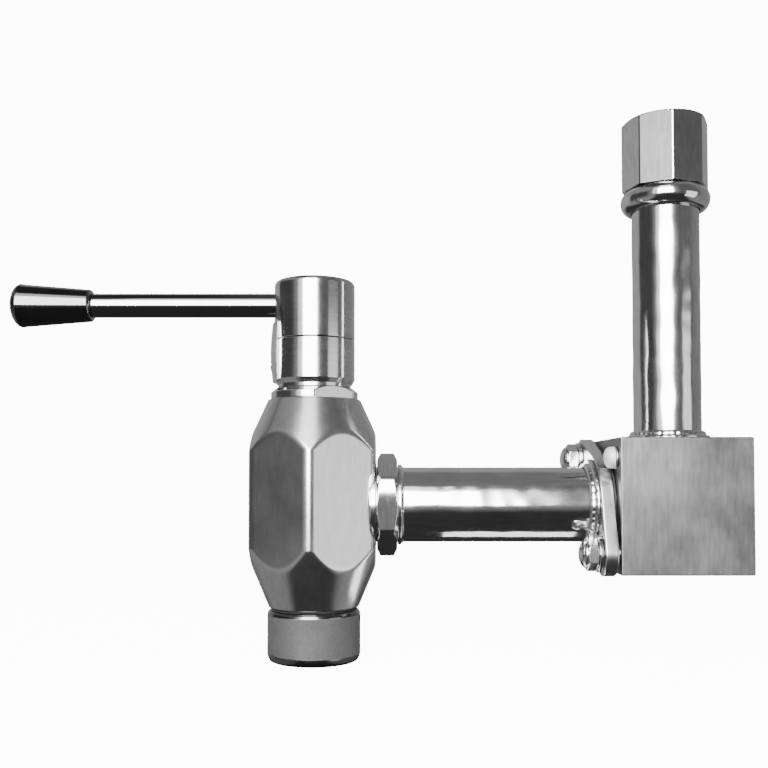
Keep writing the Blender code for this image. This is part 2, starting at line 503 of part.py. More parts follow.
def make_lever(lever):
    at = (0, 0, LEVER_HEIGHT)
    stud_end, rod_edge, knob_edge = -ROD_END - STUD_LENGTH, 0.5, 1.0
    shaft = turned("lever_rod", [
        (0, -ROD_INNER_END), (ROD_THREAD_RADIUS, -ROD_INNER_END), (ROD_THREAD_RADIUS, -ROD_SHOULDER),
        (ROD_RADIUS, -ROD_SHOULDER), (ROD_RADIUS, -ROD_END + rod_edge), (ROD_RADIUS - rod_edge, -ROD_END),
        (STUD_RADIUS, -ROD_END), (STUD_RADIUS, stud_end), (0, stud_end)], PLAIN)
    place("lever_rod", shaft, material("lever_rod_chrome", (0.75, 0.75, 0.75), 1.0, 0.06), at, ALONG_X, lever)

    dome = arc((0, -KNOB_END + KNOB_DOME), (KNOB_BIG_RADIUS, KNOB_DOME), 0, -90, 8)[:-1]
    knob = turned("lever_knob", [
        (INSERT_RADIUS + GAP, -KNOB_START), (KNOB_SMALL_RADIUS - knob_edge, -KNOB_START),
        (KNOB_SMALL_RADIUS, -KNOB_START - knob_edge), *dome, (0, -KNOB_END), (0, -INSERT_END - GAP),
        (INSERT_RADIUS + GAP, -INSERT_END - GAP)], FINE)
    place("lever_knob", knob, material("lever_knob_plastic", (0.012, 0.012, 0.012), 0.0, 0.22),
          at, ALONG_X, lever)
    insert = ring("knob_insert", STUD_RADIUS + GAP, INSERT_RADIUS, -INSERT_END, -KNOB_START, COARSE)
    place("knob_insert", insert, material("knob_insert_brass", (0.6, 0.43, 0.18), 1.0, 0.3),
          at, ALONG_X, lever)


def make_outlet_pipe():
    washer = ring("seal_washer", PIPE_RADIUS + GAP, SPOT_FACE_RADIUS - GAP, SPOT_FACE + GAP,
                  LOCK_NUT_START - GAP)
    place("seal_washer", washer, steel("seal_washer_steel", grey=0.8), OUTLET, ALONG_X)

    step_start = LOCK_NUT_END + GAP
    pipe = turned("outlet_pipe", [
        (PIPE_BORE_RADIUS, PIPE_START), (PIPE_RADIUS, PIPE_START), (PIPE_RADIUS, step_start),
        (PIPE_STEP_RADIUS, step_start), (PIPE_STEP_RADIUS, PIPE_STEP_END - PIPE_STEP_SLOPE),
        (PIPE_RADIUS, PIPE_STEP_END), (PIPE_RADIUS, PIPE_END), (PIPE_BORE_RADIUS, PIPE_END)], FINE)
    place("outlet_pipe", pipe, steel("outlet_pipe_steel", grey=0.68, roughness=0.2), OUTLET, ALONG_X)

    # A corner points up: the piece's own X axis points down once it lies along X
    nut = place("lock_nut", prism("lock_nut", polygon(6, LOCK_NUT_FLATS, 0), LOCK_NUT_START, LOCK_NUT_END),
                steel("lock_nut_steel", grey=0.66, roughness=0.22), OUTLET, ALONG_X)
    rim = LOCK_NUT_FLATS / 2 - GAP
    envelope = turned("lock_nut_turned", [
        (0, LOCK_NUT_START), (rim, LOCK_NUT_START), (LOCK_NUT_TURNED, LOCK_NUT_START + LOCK_NUT_CHAMFER),
        (LOCK_NUT_TURNED, LOCK_NUT_END - LOCK_NUT_CHAMFER), (rim, LOCK_NUT_END), (0, LOCK_NUT_END)])
    combine(nut, "INTERSECT", tool(envelope, OUTLET, ALONG_X))
    bore = rod("lock_nut_bore", PIPE_RADIUS + GAP, LOCK_NUT_START - OVERRUN, LOCK_NUT_END + OVERRUN)
    cut(nut, tool(bore, OUTLET, ALONG_X))


def flange_corners():
    """The outline round a circle and two lobes, which lie on the diagonal that rises to the back."""
    reach = LOBE_OFFSET * math.sqrt(2.0)
    touch = math.degrees(math.acos((FLANGE_RADIUS - LOBE_RADIUS) / reach))
    corners = []
    for bearing in (LOBE_BEARING, LOBE_BEARING + 180):
        turn = math.radians(bearing)
        lobe = (reach * math.cos(turn), reach * math.sin(turn))
        corners += arc(lobe, (LOBE_RADIUS, LOBE_RADIUS), bearing - touch, bearing + touch, 10)
        corners += arc((0, 0), (FLANGE_RADIUS, FLANGE_RADIUS), bearing + touch, bearing + 180 - touch, 6)
    return corners


def make_bolt(name, offset):
    """One flange bolt with its washer, at (offset, offset) from the pipe's axis in Y and Z."""
    at = (0, offset, OUTLET_HEIGHT + offset)
    washer_low = FLANGE_START - GAP - WASHER_THICK
    washer_name = name.replace("bolt", "washer")
    washer = ring(washer_name, BOLT_RADIUS + GAP, WASHER_RADIUS,
                  washer_low, washer_low + WASHER_THICK, COARSE)
    place(washer_name, washer, steel(f"{washer_name}_steel", grey=0.7), at, ALONG_X)

    head_high = washer_low - GAP
    head_low = head_high - BOLT_HEAD_LENGTH
    bolt = place(name, prism(name, polygon(6, BOLT_HEAD_FLATS, 0), head_low, head_high),
                 steel(f"{name}_steel", grey=0.72, roughness=0.12), at, ALONG_X)
    dome_foot = head_low + GAP
    dome = arc((0, dome_foot), (BOLT_DOME_RADIUS, BOLT_DOME_LENGTH), -90, 0, 5)[1:]
    core = turned(f"{name}_core", [
        (0, dome_foot - BOLT_DOME_LENGTH), *dome, (BOLT_RADIUS, dome_foot + OVERLAP),
        (BOLT_RADIUS, BOLT_END), (0, BOLT_END)], COARSE)
    combine(bolt, "UNION", tool(core, at, ALONG_X))


def make_flange():
    pipe_side, weld_end = PIPE_RADIUS + GAP, FLANGE_START - GAP
    weld = turned("flange_weld", [
        (pipe_side, weld_end), (pipe_side + WELD_FOOT, weld_end),
        (pipe_side + WELD_WAIST, weld_end - WELD_WAIST), (pipe_side, weld_end - WELD_FOOT)])
    place("flange_weld", weld, steel("flange_weld_steel", grey=0.55, roughness=0.4), OUTLET, ALONG_X)

    flange = place("outlet_flange", prism("outlet_flange", flange_corners(), FLANGE_START, FLANGE_END),
                   steel("outlet_flange_steel", grey=0.66, roughness=0.22), OUTLET, ALONG_X)
    bore = rod("flange_bore", PIPE_RADIUS + GAP, FLANGE_START - OVERRUN, FLANGE_END + OVERRUN)
    cut(flange, tool(bore, OUTLET, ALONG_X))
    gasket = ring("flange_gasket", PIPE_RADIUS + GAP, FLANGE_GASKET_RADIUS,
                  FLANGE_END + GAP, BLOCK_START - GAP)
    place("flange_gasket", gasket, rubber("flange_gasket_rubber"), OUTLET, ALONG_X)

    holes = []
    for name, offset in (("flange_bolt_upper", LOBE_OFFSET), ("flange_bolt_lower", -LOBE_OFFSET)):
        make_bolt(name, offset)
        hole = rod(f"{name}_hole", BOLT_RADIUS + GAP, FLANGE_START - OVERRUN, BOLT_END + GAP, COARSE)
        holes.append(tool(hole, (0, offset, OUTLET_HEIGHT + offset), ALONG_X))
    cut(flange, *holes)
    return holes


def make_block(bolt_holes):
    shape = bmesh.new()
    bmesh.ops.create_cube(shape, size=MM)
    bmesh.ops.scale(shape, vec=(BLOCK_WIDTH, BLOCK_WIDTH, BLOCK_HEIGHT), verts=shape.verts)
    block = place("elbow_block", finished_mesh("elbow_block", shape),
                  steel("brushed_steel_block", grey=0.6, roughness=0.38), (RISER_X, 0, OUTLET_HEIGHT))
    edges = block.modifiers.new("edge_breaks", "BEVEL")
    edges.width = BLOCK_CHAMFER * MM
    edges.segments = 1
    pipe_stop = PIPE_END + GAP
    across = turned("block_bore_across", [
        (0, BLOCK_START - OVERRUN), (PIPE_RADIUS + GAP, BLOCK_START - OVERRUN),
        (PIPE_RADIUS + GAP, pipe_stop), (BLOCK_BORE_RADIUS, pipe_stop),
        (BLOCK_BORE_RADIUS, BLOCK_DRILL_END), (0, BLOCK_DRILL_END)])
    upward = turned("block_bore_up", [
        (0, BLOCK_DRILL_BOTTOM), (BLOCK_BORE_RADIUS, BLOCK_DRILL_BOTTOM),
        (BLOCK_BORE_RADIUS, RISER_POCKET_BOTTOM),
        (RISER_RADIUS + GAP, RISER_POCKET_BOTTOM), (RISER_RADIUS + GAP, BLOCK_TOP + OVERRUN),
        (0, BLOCK_TOP + OVERRUN)])
    vent_at = (0, -LOBE_OFFSET, OUTLET_HEIGHT + LOBE_OFFSET)
    vent = rod("vent_hole", VENT_THREAD_RADIUS + GAP, BLOCK_START - OVERRUN, VENT_END + GAP, COARSE)
    cut(block, tool(across, OUTLET, ALONG_X), tool(upward, RISER), tool(vent, vent_at, ALONG_X), *bolt_holes)

    seal_high = BLOCK_START - GAP
    seal_low = seal_high - VENT_SEAL_THICK
    seal = ring("vent_seal", VENT_THREAD_RADIUS + GAP, VENT_SEAL_RADIUS, seal_low, seal_high, COARSE)
    place("vent_seal", seal, material("vent_seal_copper", (0.6, 0.3, 0.18), 1.0, 0.35), vent_at, ALONG_X)
    head_high = seal_low - GAP
    crown_foot, crown_rise = head_high - VENT_HEAD_RIM, VENT_HEAD_LENGTH - VENT_HEAD_RIM
    crown = arc((0, crown_foot), (VENT_HEAD_RADIUS, crown_rise), -90, 0, 6)[1:]
    screw = turned("vent_screw", [
        (0, crown_foot - crown_rise), *crown, (VENT_HEAD_RADIUS, head_high),
        (VENT_THREAD_RADIUS, head_high), (VENT_THREAD_RADIUS, VENT_END), (0, VENT_END)], COARSE)
    place("vent_screw", screw, steel("vent_screw_steel", grey=0.85, roughness=0.12), vent_at, ALONG_X)


def make_riser():
    foot = RISER_POCKET_BOTTOM + GAP
    pipe = turned("riser_pipe", [
        (RISER_BORE_RADIUS, foot), (RISER_RADIUS, foot), (RISER_RADIUS, RISER_BEAD_START),
        (RISER_BEAD_RADIUS, RISER_BEAD_START + RISER_BEAD_CHAMFER),
        (RISER_BEAD_RADIUS, RISER_BEAD_END - RISER_BEAD_CHAMFER),
        (RISER_RADIUS, RISER_BEAD_END), (RISER_RADIUS, RISER_TOP), (RISER_BORE_RADIUS, RISER_TOP)], FINE)
    place("riser_pipe", pipe, steel("riser_pipe_steel", grey=0.66, roughness=0.22), RISER)
    weld_low, weld_side = BLOCK_TOP + GAP, RISER_RADIUS + GAP
    weld = turned("riser_weld", [
        (weld_side, weld_low), (weld_side + WELD_FOOT, weld_low),
        (weld_side + WELD_WAIST, weld_low + WELD_WAIST), (weld_side, weld_low + WELD_FOOT)])
    place("riser_weld", weld, steel("riser_weld_steel", grey=0.55, roughness=0.4), RISER)
    gasket_low = RISER_TOP + GAP
    gasket = ring("riser_gasket", RISER_GASKET_INNER, RISER_GASKET_OUTER, gasket_low,
                  gasket_low + RISER_GASKET_THICK)
    place("riser_gasket", gasket, rubber("riser_gasket_rubber"), RISER)
    slip = ring("slip_ring", COUPLING_SLIDE_BORE, COUPLING_BORE_RADIUS - GAP, COUPLING_SHOULDER + GAP,
                RISER_BEAD_START - GAP)
    place("slip_ring", slip, material("slip_ring_bronze", (0.5, 0.33, 0.16), 1.0, 0.35), RISER)


def make_coupling_nut():
    octagon = polygon(8, COUPLING_FLATS, COUPLING_TURN)
    middle = (COUPLING_BOTTOM + COUPLING_BEAD_TOP) / 2
    nut = place("coupling_nut", prism("coupling_nut", octagon, middle, COUPLING_TOP),
                steel("coupling_nut_steel", grey=0.6, roughness=0.25), RISER)
    outside = COUPLING_FLATS        # well outside the corners
    slope_end = COUPLING_TOP - COUPLING_SLOPE * (outside - COUPLING_RIM)
    envelope = turned("coupling_chamfer", [
        (0, COUPLING_BOTTOM), (outside, COUPLING_BOTTOM), (outside, slope_end), (COUPLING_RIM, COUPLING_TOP),
        (0, COUPLING_TOP)])
    swell = arc((COUPLING_BEAD_RADIUS - COUPLING_BEAD_ROUND, middle),
                (COUPLING_BEAD_ROUND, COUPLING_BEAD_TOP - middle), -90, 90, 8)
    bead = turned("coupling_bead", [(0, COUPLING_BOTTOM), *swell, (0, COUPLING_BEAD_TOP)], FINE)
    bore = turned("coupling_bore", [
        (0, COUPLING_BOTTOM - OVERRUN), (COUPLING_SLIDE_BORE, COUPLING_BOTTOM - OVERRUN),
        (COUPLING_SLIDE_BORE, COUPLING_SHOULDER), (COUPLING_BORE_RADIUS, COUPLING_SHOULDER),
        (COUPLING_BORE_RADIUS, COUPLING_TOP + OVERRUN), (0, COUPLING_TOP + OVERRUN)], FINE)
    combine(nut, "INTERSECT", tool(envelope, RISER))
    combine(nut, "UNION", tool(bead, RISER))
    cut(nut, tool(bore, RISER))


def main():
    clear_scene()
    lever = empty("lever_pivot", (0, 0, LEVER_HEIGHT))
    make_body()
    make_inlet()
    make_plug(lever)
    make_stem(lever)
    make_bonnet()
    make_hub(lever)
    make_lever(lever)
    make_outlet_pipe()
    bolt_holes = make_flange()
    make_block(bolt_holes)
    make_riser()
    make_coupling_nut()


main()
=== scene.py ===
"""Looks of the plug valve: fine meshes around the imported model, their finishes, the stage and the camera.

Lengths are in millimetres and become metres in the meshes. A piece takes its place and size from the
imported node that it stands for; the constants give the shapes that a node's box can't tell.
"""

import math
from collections import namedtuple

import bmesh
import bpy
from mathutils import Matrix, Vector, noise


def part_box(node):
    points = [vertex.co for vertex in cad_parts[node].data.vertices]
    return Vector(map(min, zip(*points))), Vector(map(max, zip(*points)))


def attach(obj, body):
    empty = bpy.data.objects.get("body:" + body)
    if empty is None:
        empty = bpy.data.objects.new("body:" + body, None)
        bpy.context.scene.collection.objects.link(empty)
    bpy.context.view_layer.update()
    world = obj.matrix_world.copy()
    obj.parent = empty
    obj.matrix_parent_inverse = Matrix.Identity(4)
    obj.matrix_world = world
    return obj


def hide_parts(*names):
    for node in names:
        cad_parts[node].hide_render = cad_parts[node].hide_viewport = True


MM = 0.001
TURN = 2 * math.pi
SIDES = 144                     # columns round a turned piece
SMOOTH_ANGLE = math.radians(32)
OVERRUN = 3.0                   # how far a cutting tool runs past the face it enters
GAP = 0.3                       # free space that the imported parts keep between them
UNLIMITED = 1e3                 # a radius or height that no piece reaches

# Valve body
BODY_CONE_LOW, BODY_CONE_HIGH = 51.0, 94.0
BODY_BOTTOM_RADIUS, BODY_TOP_RADIUS = 20.4, 21.0
BODY_EDGE_BLEND = 0.9
FLOW_RADIUS, OUTLET_DRILL_START = 11.0, 13.5
CAVITY_BOTTOM, CAVITY_TOP, CAVITY_LOW_RADIUS, CAVITY_HIGH_RADIUS = 46.2, 96.0, 15.68, 17.79
SPOT_FACE, SPOT_FACE_RADIUS = 25.3, 19.3

# Inlet socket; its edge and shoulder are (radial, axial) sizes of their rounding
SPIGOT_RADIUS, SPIGOT_TOP = 15.5, 35.5
SOCKET_BORE_RADIUS, SOCKET_BORE_DEPTH, SOCKET_BORE_CHAMFER = 15.15, 14.0, 0.5
SOCKET_EDGE, SOCKET_SHOULDER, SOCKET_TOP = (2.4, 4.0), (1.8, 2.4), 23.1

# Bonnet and the lever's stop
COLLAR_RADIUS, COLLAR_TOP, COLLAR_CHAMFER, UNDERCUT_RADIUS = 19.8, 122.8, (2.8, 2.2), 16.5
WRENCH_FLATS, WRENCH_FLATS_RISE, WRENCH_BEARING = 34.0, 0.7, -55.0
NECK_RADIUS, NECK_BOTTOM, NECK_CHAMFER = 18.3, 124.2, (1.1, 2.2)
BONNET_SPIGOT_RADIUS, BONNET_MOUTH_RADIUS, BONNET_MOUTH_TOP, STEM_BORE_RADIUS = 18.0, 8.5, 105.8, 6.6
GLAND_RADIUS, GLAND_BOTTOM, PACKING_RADIUS, PACKING_BOTTOM = 12.3, 131.0, 10.3, 112.0
STRIP_INNER, STRIP_OUTER, STRIP_BOW, STRIP_HALF_ANGLE, STRIP_POCKET_BOTTOM = 16.9, 19.1, 0.9, 34.0, 125.1
LEVER_TRAVEL = 90.0

# The stop strip's screw: the height of its axis, then places along X
STOP_SCREW_HEIGHT, STOP_SCREW_TIP, STOP_SCREW_NECK, STOP_SCREW_FACE = 133.5, -13.7, -18.15, -19.85
STOP_SCREW_RADIUS, STOP_SCREW_HEAD = 1.5, 3.2
SLOT_WIDTH, SLOT_LENGTH, SLOT_FLOOR = 0.9, 8.0, -19.1

# Lever
HUB_ROUND, HUB_SQUARE, HUB_SQUARE_TOP, HUB_SEAT, HUB_SEAT_RADIUS = 2.3, 8.9, 163.0, 166.4, 7.6
HUB_SCREW_BORE, HUB_SCREW_RADIUS, HUB_FLOOR_DEPTH = 2.8, 2.5, 2.0
HUB_KEY_RADIUS, HUB_KEY_DEPTH = 2.31, 2.2
ROD_TIP_RADIUS, ROD_SHOULDER, ROD_TAIL_RADIUS = 4.0, -15.3, 3.4
KNOB_SMALL_RADIUS, KNOB_ROUND, KNOB_DOME = 7.4, 1.3, 5.0
KNOB_RIM = ((0.28, 0.9), (0.05, 0.4))      # inward and ahead of the dome's edge, where the cone ends
KNOB_BORE_RADIUS, KNOB_BORE_END = 5.5, -119.6

# Outlet pipe, lock nut and flange
PIPE_BORE_RADIUS, PIPE_STEP_END, PIPE_STEP_RADIUS, PIPE_STEP_LEAD = 13.5, 40.4, 18.2, 1.2
PIPE_STOP = 139.3
LOCK_NUT_FLATS, LOCK_NUT_LEAD, LOCK_NUT_CHAMFER = 41.0, (0.8, 0.5), 1.5
WELD_FOOT, WELD_RIPPLE, WELD_UNEVENNESS, WELD_CREST = 3.4, 0.30, 0.25, 0.12
FLANGE_RADIUS, LOBE_OFFSET, LOBE_RADIUS, FLANGE_BEVEL, FLANGE_OVERRUN = 22.5, 20.8, 9.6, 0.7, 9.0
BOLT_SHANK_RADIUS, BOLT_HOLE_END = 3.85, 146.3
BOLT_DOME_RADIUS, BOLT_DOME_LENGTH, BOLT_HEAD_FLATS, BOLT_HEAD_LENGTH = 6.0, 3.1, 13.0, 4.6

# Block, riser and coupling nut
BLOCK_BORE_RADIUS, BLOCK_DRILL_END, BLOCK_DRILL_BOTTOM, BLOCK_BEVEL = 13.0, 172.0, 58.0, 0.6
RISER_POCKET, RISER_BORE_RADIUS, RISER_BEAD, RISER_BEAD_LEAD = 92.0, 12.0, (217.3, 219.1), 0.5
VENT_SHANK_RADIUS, VENT_HOLE_END, VENT_CROWN, VENT_CROWN_LENGTH = 3.0, 140.0, 1.4, 2.8
SLIDE_BORE_RADIUS, GASKET_BORE_RADIUS, RISER_EVEN_ABOVE = 15.35, 12.2, 200.0
COUPLING_BEAD_TOP, COUPLING_SHOULDER, COUPLING_BORE_RADIUS, COUPLING_TURN = 213.5, 213.9, 16.75, -5.5
COUPLING_FLATS, COUPLING_CORNER, COUPLING_SWELL = 36.0, 19.5, 4.0

# Stage, camera and lights, in metres
FLOOR_MIDDLE, FLOOR_FLAT, FLOOR_CURVE, BACKDROP_TOP, FLOOR_DROP = 1.0, 1.9, 0.9, 3.2, 0.0004
LIT_CENTRE = (0.03, 0.0, 0.073)
CAMERA_PLACE = (0.03165, -0.428, 0.0815)
CAMERA_PITCH, CAMERA_LENS, CAMERA_SHIFT = 2.0, 44.10, 0.0810      # degrees, mm, share of the width
BOUNCE_PLACE, BOUNCE_SIZE = (0.095, 0.005, -0.002), (0.068, 0.028)

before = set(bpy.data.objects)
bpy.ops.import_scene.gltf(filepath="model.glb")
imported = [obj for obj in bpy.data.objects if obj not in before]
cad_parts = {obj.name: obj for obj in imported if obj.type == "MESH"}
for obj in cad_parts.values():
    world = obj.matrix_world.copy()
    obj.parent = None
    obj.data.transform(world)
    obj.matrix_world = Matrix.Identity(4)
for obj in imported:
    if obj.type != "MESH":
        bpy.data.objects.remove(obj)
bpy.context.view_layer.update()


# -------------------------------- places and sizes from the frame

def box(node):
    """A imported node's lowest and highest corner, in millimetres."""
    low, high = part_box(node)
    return low / MM, high / MM


def middle(node):
    low, high = box(node)
    return (low + high) / 2


class Axis:
    """A line that pieces are turned about: Z through (x, y), or X through (y, z)."""

    def __init__(self, place, along_x=False):
        self.matrix = Matrix.Translation(Vector(place) * MM)
        if along_x:
            self.matrix = self.matrix @ Matrix.Rotation(math.pi / 2, 4, "Y")


STEM = Axis((0, 0, 0))
OUTLET_HEIGHT = middle("outlet_pipe").z
OUTLET = Axis((0, 0, OUTLET_HEIGHT), along_x=True)
RISER_X = middle("riser_pipe").x
RISER = Axis((RISER_X, 0, 0))
LEVER_HEIGHT = middle("lever_rod").z
LEVER = Axis((0, 0, LEVER_HEIGHT), along_x=True)


# -------------------------------- mesh tools

Point = namedtuple("Point", "radius height worn")       # of an outline; worn edges are polished


def arc(centre, radii, first, last, steps, worn=0.0):
    """Points on an elliptic arc, angles in degrees."""
    points = []
    for step in range(steps + 1):
        angle = math.radians(first + (last - first) * step / steps)
        inside = 0 < step < steps
        points.append(Point(centre[0] + radii[0] * math.cos(angle), centre[1] + radii[1] * math.sin(angle),
                            worn * inside))
    return points


def rounded(corners, steps=5):
    """A closed outline. A corner is (radius, height, fillet), or a ready Point that is kept as it is."""
    points = []
    for index, corner in enumerate(corners):
        radius, height, fillet = corner
        if isinstance(corner, Point) or not fillet:
            points.append(Point(radius, height, corner.worn if isinstance(corner, Point) else 0.0))
            continue
        here = Vector((radius, height))
        before = (Vector(corners[index - 1][:2]) - here).normalized()
        after = (Vector(corners[(index + 1) % len(corners)][:2]) - here).normalized()
        half = math.acos(max(-1.0, min(1.0, before.dot(after)))) / 2
        centre = here + (before + after).normalized() * fillet / math.sin(half)
        reach = fillet / math.tan(half)
        first, last = here + before * reach - centre, here + after * reach - centre
        start = math.atan2(first.y, first.x)
        sweep = (math.atan2(last.y, last.x) - start + math.pi) % TURN - math.pi
        for step in range(steps + 1):
            angle = start + sweep * step / steps
            inside = 0 < step < steps
            points.append(Point(centre.x + fillet * math.cos(angle), centre.y + fillet * math.sin(angle),
                                float(inside)))
    return points


def subdivided(outline, spacing, low=-UNLIMITED, high=UNLIMITED):
    """The outline with points added on its long stretches between two heights."""
    points = []
    for index, here in enumerate(outline):
        after = outline[(index + 1) % len(outline)]
        points.append(here)
        length = math.dist(here[:2], after[:2])
        inside = low <= min(here[1], after[1]) and max(here[1], after[1]) <= high
        parts = max(1, round(length / spacing)) if inside and min(here[0], after[0]) > 0 else 1
        for part in range(1, parts):
            share = part / parts
            radius, height = (start + (end - start) * share for start, end in zip(here[:2], after[:2]))
            points.append(Point(radius, height, 0.0))
    return points


def least(first, second, blend):
    """The lesser of two radii with their meeting rounded, and how near the meeting is, from 0 to 1."""
    near = max(blend - abs(first - second), 0.0) / blend
    return min(first, second) - near * near * blend / 4, near


def flats(count, across, first_corner):
    """A limit for turned(): the sides of a regular prism, by angle in degrees."""
    step = 360.0 / count

    def limit(angle, _height):
        off = (angle - first_corner) % step - step / 2
        return across / 2 / math.cos(math.radians(off))
    return limit


def turned(outline, axis=STEM, sides=SIDES, limit=None, blend=0.3, wave=None, start=0.0, sweep=360.0):
    """A mesh turned from a closed outline. `limit` flattens its sides and `wave` moves points in and out.

    Its attributes are "worn" on rounded edges and "milled" on the sides that the limit flattened.
    """
    shape = bmesh.new()
    worn_layer = shape.verts.layers.float.new("worn")
    milled_layer = shape.verts.layers.float.new("milled")
    whole = sweep == 360.0
    stations = sides if whole else sides + 1
    rings = []
    for radius, height, worn in outline:
        if radius < 1e-6:
            pole = shape.verts.new((0, 0, height * MM))
            rings.append([pole] * stations)
            continue
        ring = []
        for station in range(stations):
            angle = start + sweep * station / sides
            reach, near, past = radius, 0.0, 0.0
            if limit:
                edge = limit(angle, height)
                reach, near = least(radius, edge, blend)
                past = min(max((radius - edge) / blend, 0.0), 1.0)
            if wave:
                reach += wave(angle, height)
            turn = math.radians(angle)
            vertex = shape.verts.new((reach * math.cos(turn) * MM, reach * math.sin(turn) * MM, height * MM))
            vertex[worn_layer] = max(worn * (1 - past), near)
            vertex[milled_layer] = past
            ring.append(vertex)
        rings.append(ring)
    for index, ring in enumerate(rings):
        following = rings[(index + 1) % len(rings)]
        for station in range(sides):
            after = (station + 1) % stations
            corners = list(dict.fromkeys((ring[station], following[station], following[after], ring[after])))
            if len(corners) > 2:
                shape.faces.new(corners)
    if not whole:
        shape.faces.new([ring[0] for ring in rings])
        shape.faces.new([ring[-1] for ring in rings])
    return finished(shape, axis.matrix)


def finished(shape, matrix=Matrix.Identity(4)):
    bmesh.ops.recalc_face_normals(shape, faces=shape.faces)
    shape.transform(matrix)
    mesh = bpy.data.meshes.new("fine")
    shape.to_mesh(mesh)
    shape.free()
    return mesh


def prism(corners, low, high, axis=STEM, bevel=0.0):
    """A mesh with a flat outline of (x, y) corners across an axis, its outer edges rounded by `bevel`."""
    shape = bmesh.new()
    base = shape.faces.new([shape.verts.new((x * MM, y * MM, low * MM)) for x, y in corners])
    raised = bmesh.ops.extrude_face_region(shape, geom=[base])["geom"]
    tops = [part for part in raised if isinstance(part, bmesh.types.BMVert)]
    bmesh.ops.translate(shape, verts=tops, vec=(0, 0, (high - low) * MM))
    if bevel:
        rims = [edge for edge in shape.edges if edge.calc_face_angle(0) > math.radians(40)]
        bmesh.ops.bevel(shape, geom=rims, offset=bevel * MM, segments=4, profile=0.5, affect="EDGES")
    return finished(shape, axis.matrix)


def cut(mesh, *tools):
    """The mesh with the tool meshes taken out of it."""
    target = bpy.data.objects.new("target", mesh)
    bpy.context.scene.collection.objects.link(target)
    helpers = []
    for tool in tools:
        helper = bpy.data.objects.new("tool", tool)
        bpy.context.scene.collection.objects.link(helper)
        step = target.modifiers.new("cut", "BOOLEAN")
        step.operation = "DIFFERENCE"
        step.solver = "EXACT"
        step.object = helper
        helpers.append(helper)
    bpy.context.view_layer.update()
    result = bpy.data.meshes.new_from_object(target.evaluated_get(bpy.context.evaluated_depsgraph_get()))
    for thing in (target, *helpers):
        bpy.data.objects.remove(thing, do_unlink=True)
    return result


def stand_for(name, mesh, finish, nodes, body="valve"):
    """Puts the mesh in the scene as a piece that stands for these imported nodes."""
    mesh.name = name
    mesh.shade_smooth()
    mesh.set_sharp_from_angle(angle=SMOOTH_ANGLE)
    mesh.materials.clear()
    mesh.materials.append(finish)
    piece = bpy.data.objects.new(name, mesh)
    bpy.context.scene.collection.objects.link(piece)
    weighted = piece.modifiers.new("even_normals", "WEIGHTED_NORMAL")
    weighted.keep_sharp = True
    weighted.weight = 100
    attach(piece, body)
    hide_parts(*nodes)


def wobble(size, depth, seed, around):
    """A slow unevenness for turned(): bumps of about `size` along the piece, `depth` high.

    The greater `around` is, the more bumps go round the piece.
    """
    def wave(angle, height):
        turn = math.radians(angle)
        place = Vector((math.cos(turn) * around, math.sin(turn) * around, height / size))
        return depth * noise.noise(place + Vector((seed,) * 3))
    return wave


# -------------------------------- finishes

class Wiring:
    """Small helpers that keep the making of a node tree short."""

    def __init__(self, tree):
        self.nodes, self.links = tree.nodes, tree.links

    def feed(self, socket, value):
        """Links a node's output to a socket, or puts a number or a colour there."""
        if isinstance(value, bpy.types.NodeSocket):
            self.links.new(value, socket)
        else:
            socket.default_value = (*value, 1.0) if isinstance(value, tuple) else value

    def math(self, operation, *values):
        node = self.nodes.new("ShaderNodeMath")
        node.operation = operation
        for socket, value in zip(node.inputs, values):
            self.feed(socket, value)
        return node.outputs["Value"]

    def mix(self, share, first, second, kind="RGBA"):
        """A colour, or with kind FLOAT a number, between two others."""
        node = self.nodes.new("ShaderNodeMix")
        node.data_type = kind
        for label, value in (("Factor", share), ("A", first), ("B", second)):
            self.feed(node.inputs[label], value)
        return node.outputs["Result"]

    def spread(self, value, low, high, first=0.3, last=0.7, kind="LINEAR"):
        """Maps a value from first..last to low..high."""
        node = self.nodes.new("ShaderNodeMapRange")
        node.interpolation_type = kind
        for label, end in (("From Min", first), ("From Max", last), ("To Min", low), ("To Max", high)):
            node.inputs[label].default_value = end
        self.links.new(value, node.inputs["Value"])
        return node.outputs["Result"]


class Finish(Wiring):
    """A node material in the making."""

    def __init__(self, name):
        self.material = bpy.data.materials.new(name)
        self.material.use_nodes = True
        super().__init__(self.material.node_tree)
        self.shader = self.nodes["Principled BSDF"]
        self.place = self.nodes.new("ShaderNodeTexCoord").outputs["Object"]

    def set(self, **values):
        for label, value in values.items():
            self.shader.inputs[label.replace("_", " ")].default_value = value

    def noise(self, stretch, detail=3.0, roughness=0.55):
        """Noise whose features are this many millimetres long along X, Y and Z."""
        mapping = self.nodes.new("ShaderNodeMapping")
        mapping.inputs["Scale"].default_value = [1 / (size * MM) for size in stretch]
        self.links.new(self.place, mapping.inputs["Vector"])
        texture = self.nodes.new("ShaderNodeTexNoise")
        texture.inputs["Scale"].default_value = 1.0
        texture.inputs["Detail"].default_value = detail
        texture.inputs["Roughness"].default_value = roughness
        self.links.new(mapping.outputs["Vector"], texture.inputs["Vector"])
        return texture.outputs["Fac"]

    def painted(self, name):
        """A value stored in the mesh by turned()."""
        attribute = self.nodes.new("ShaderNodeAttribute")
        attribute.attribute_name = name
        return attribute.outputs["Fac"]

    def bump(self, height, depth):
        """A bump of `depth` millimetres."""
        node = self.nodes.new("ShaderNodeBump")
        node.inputs["Distance"].default_value = depth * MM
        self.links.new(height, node.inputs["Height"])
        return node.outputs["Normal"]

    def tangent(self, axis):
        node = self.nodes.new("ShaderNodeTangent")
        node.direction_type = "RADIAL"
        node.axis = axis
        self.links.new(node.outputs["Tangent"], self.shader.inputs["Tangent"])

    def wire(self, label, value):
        self.links.new(value, self.shader.inputs[label])


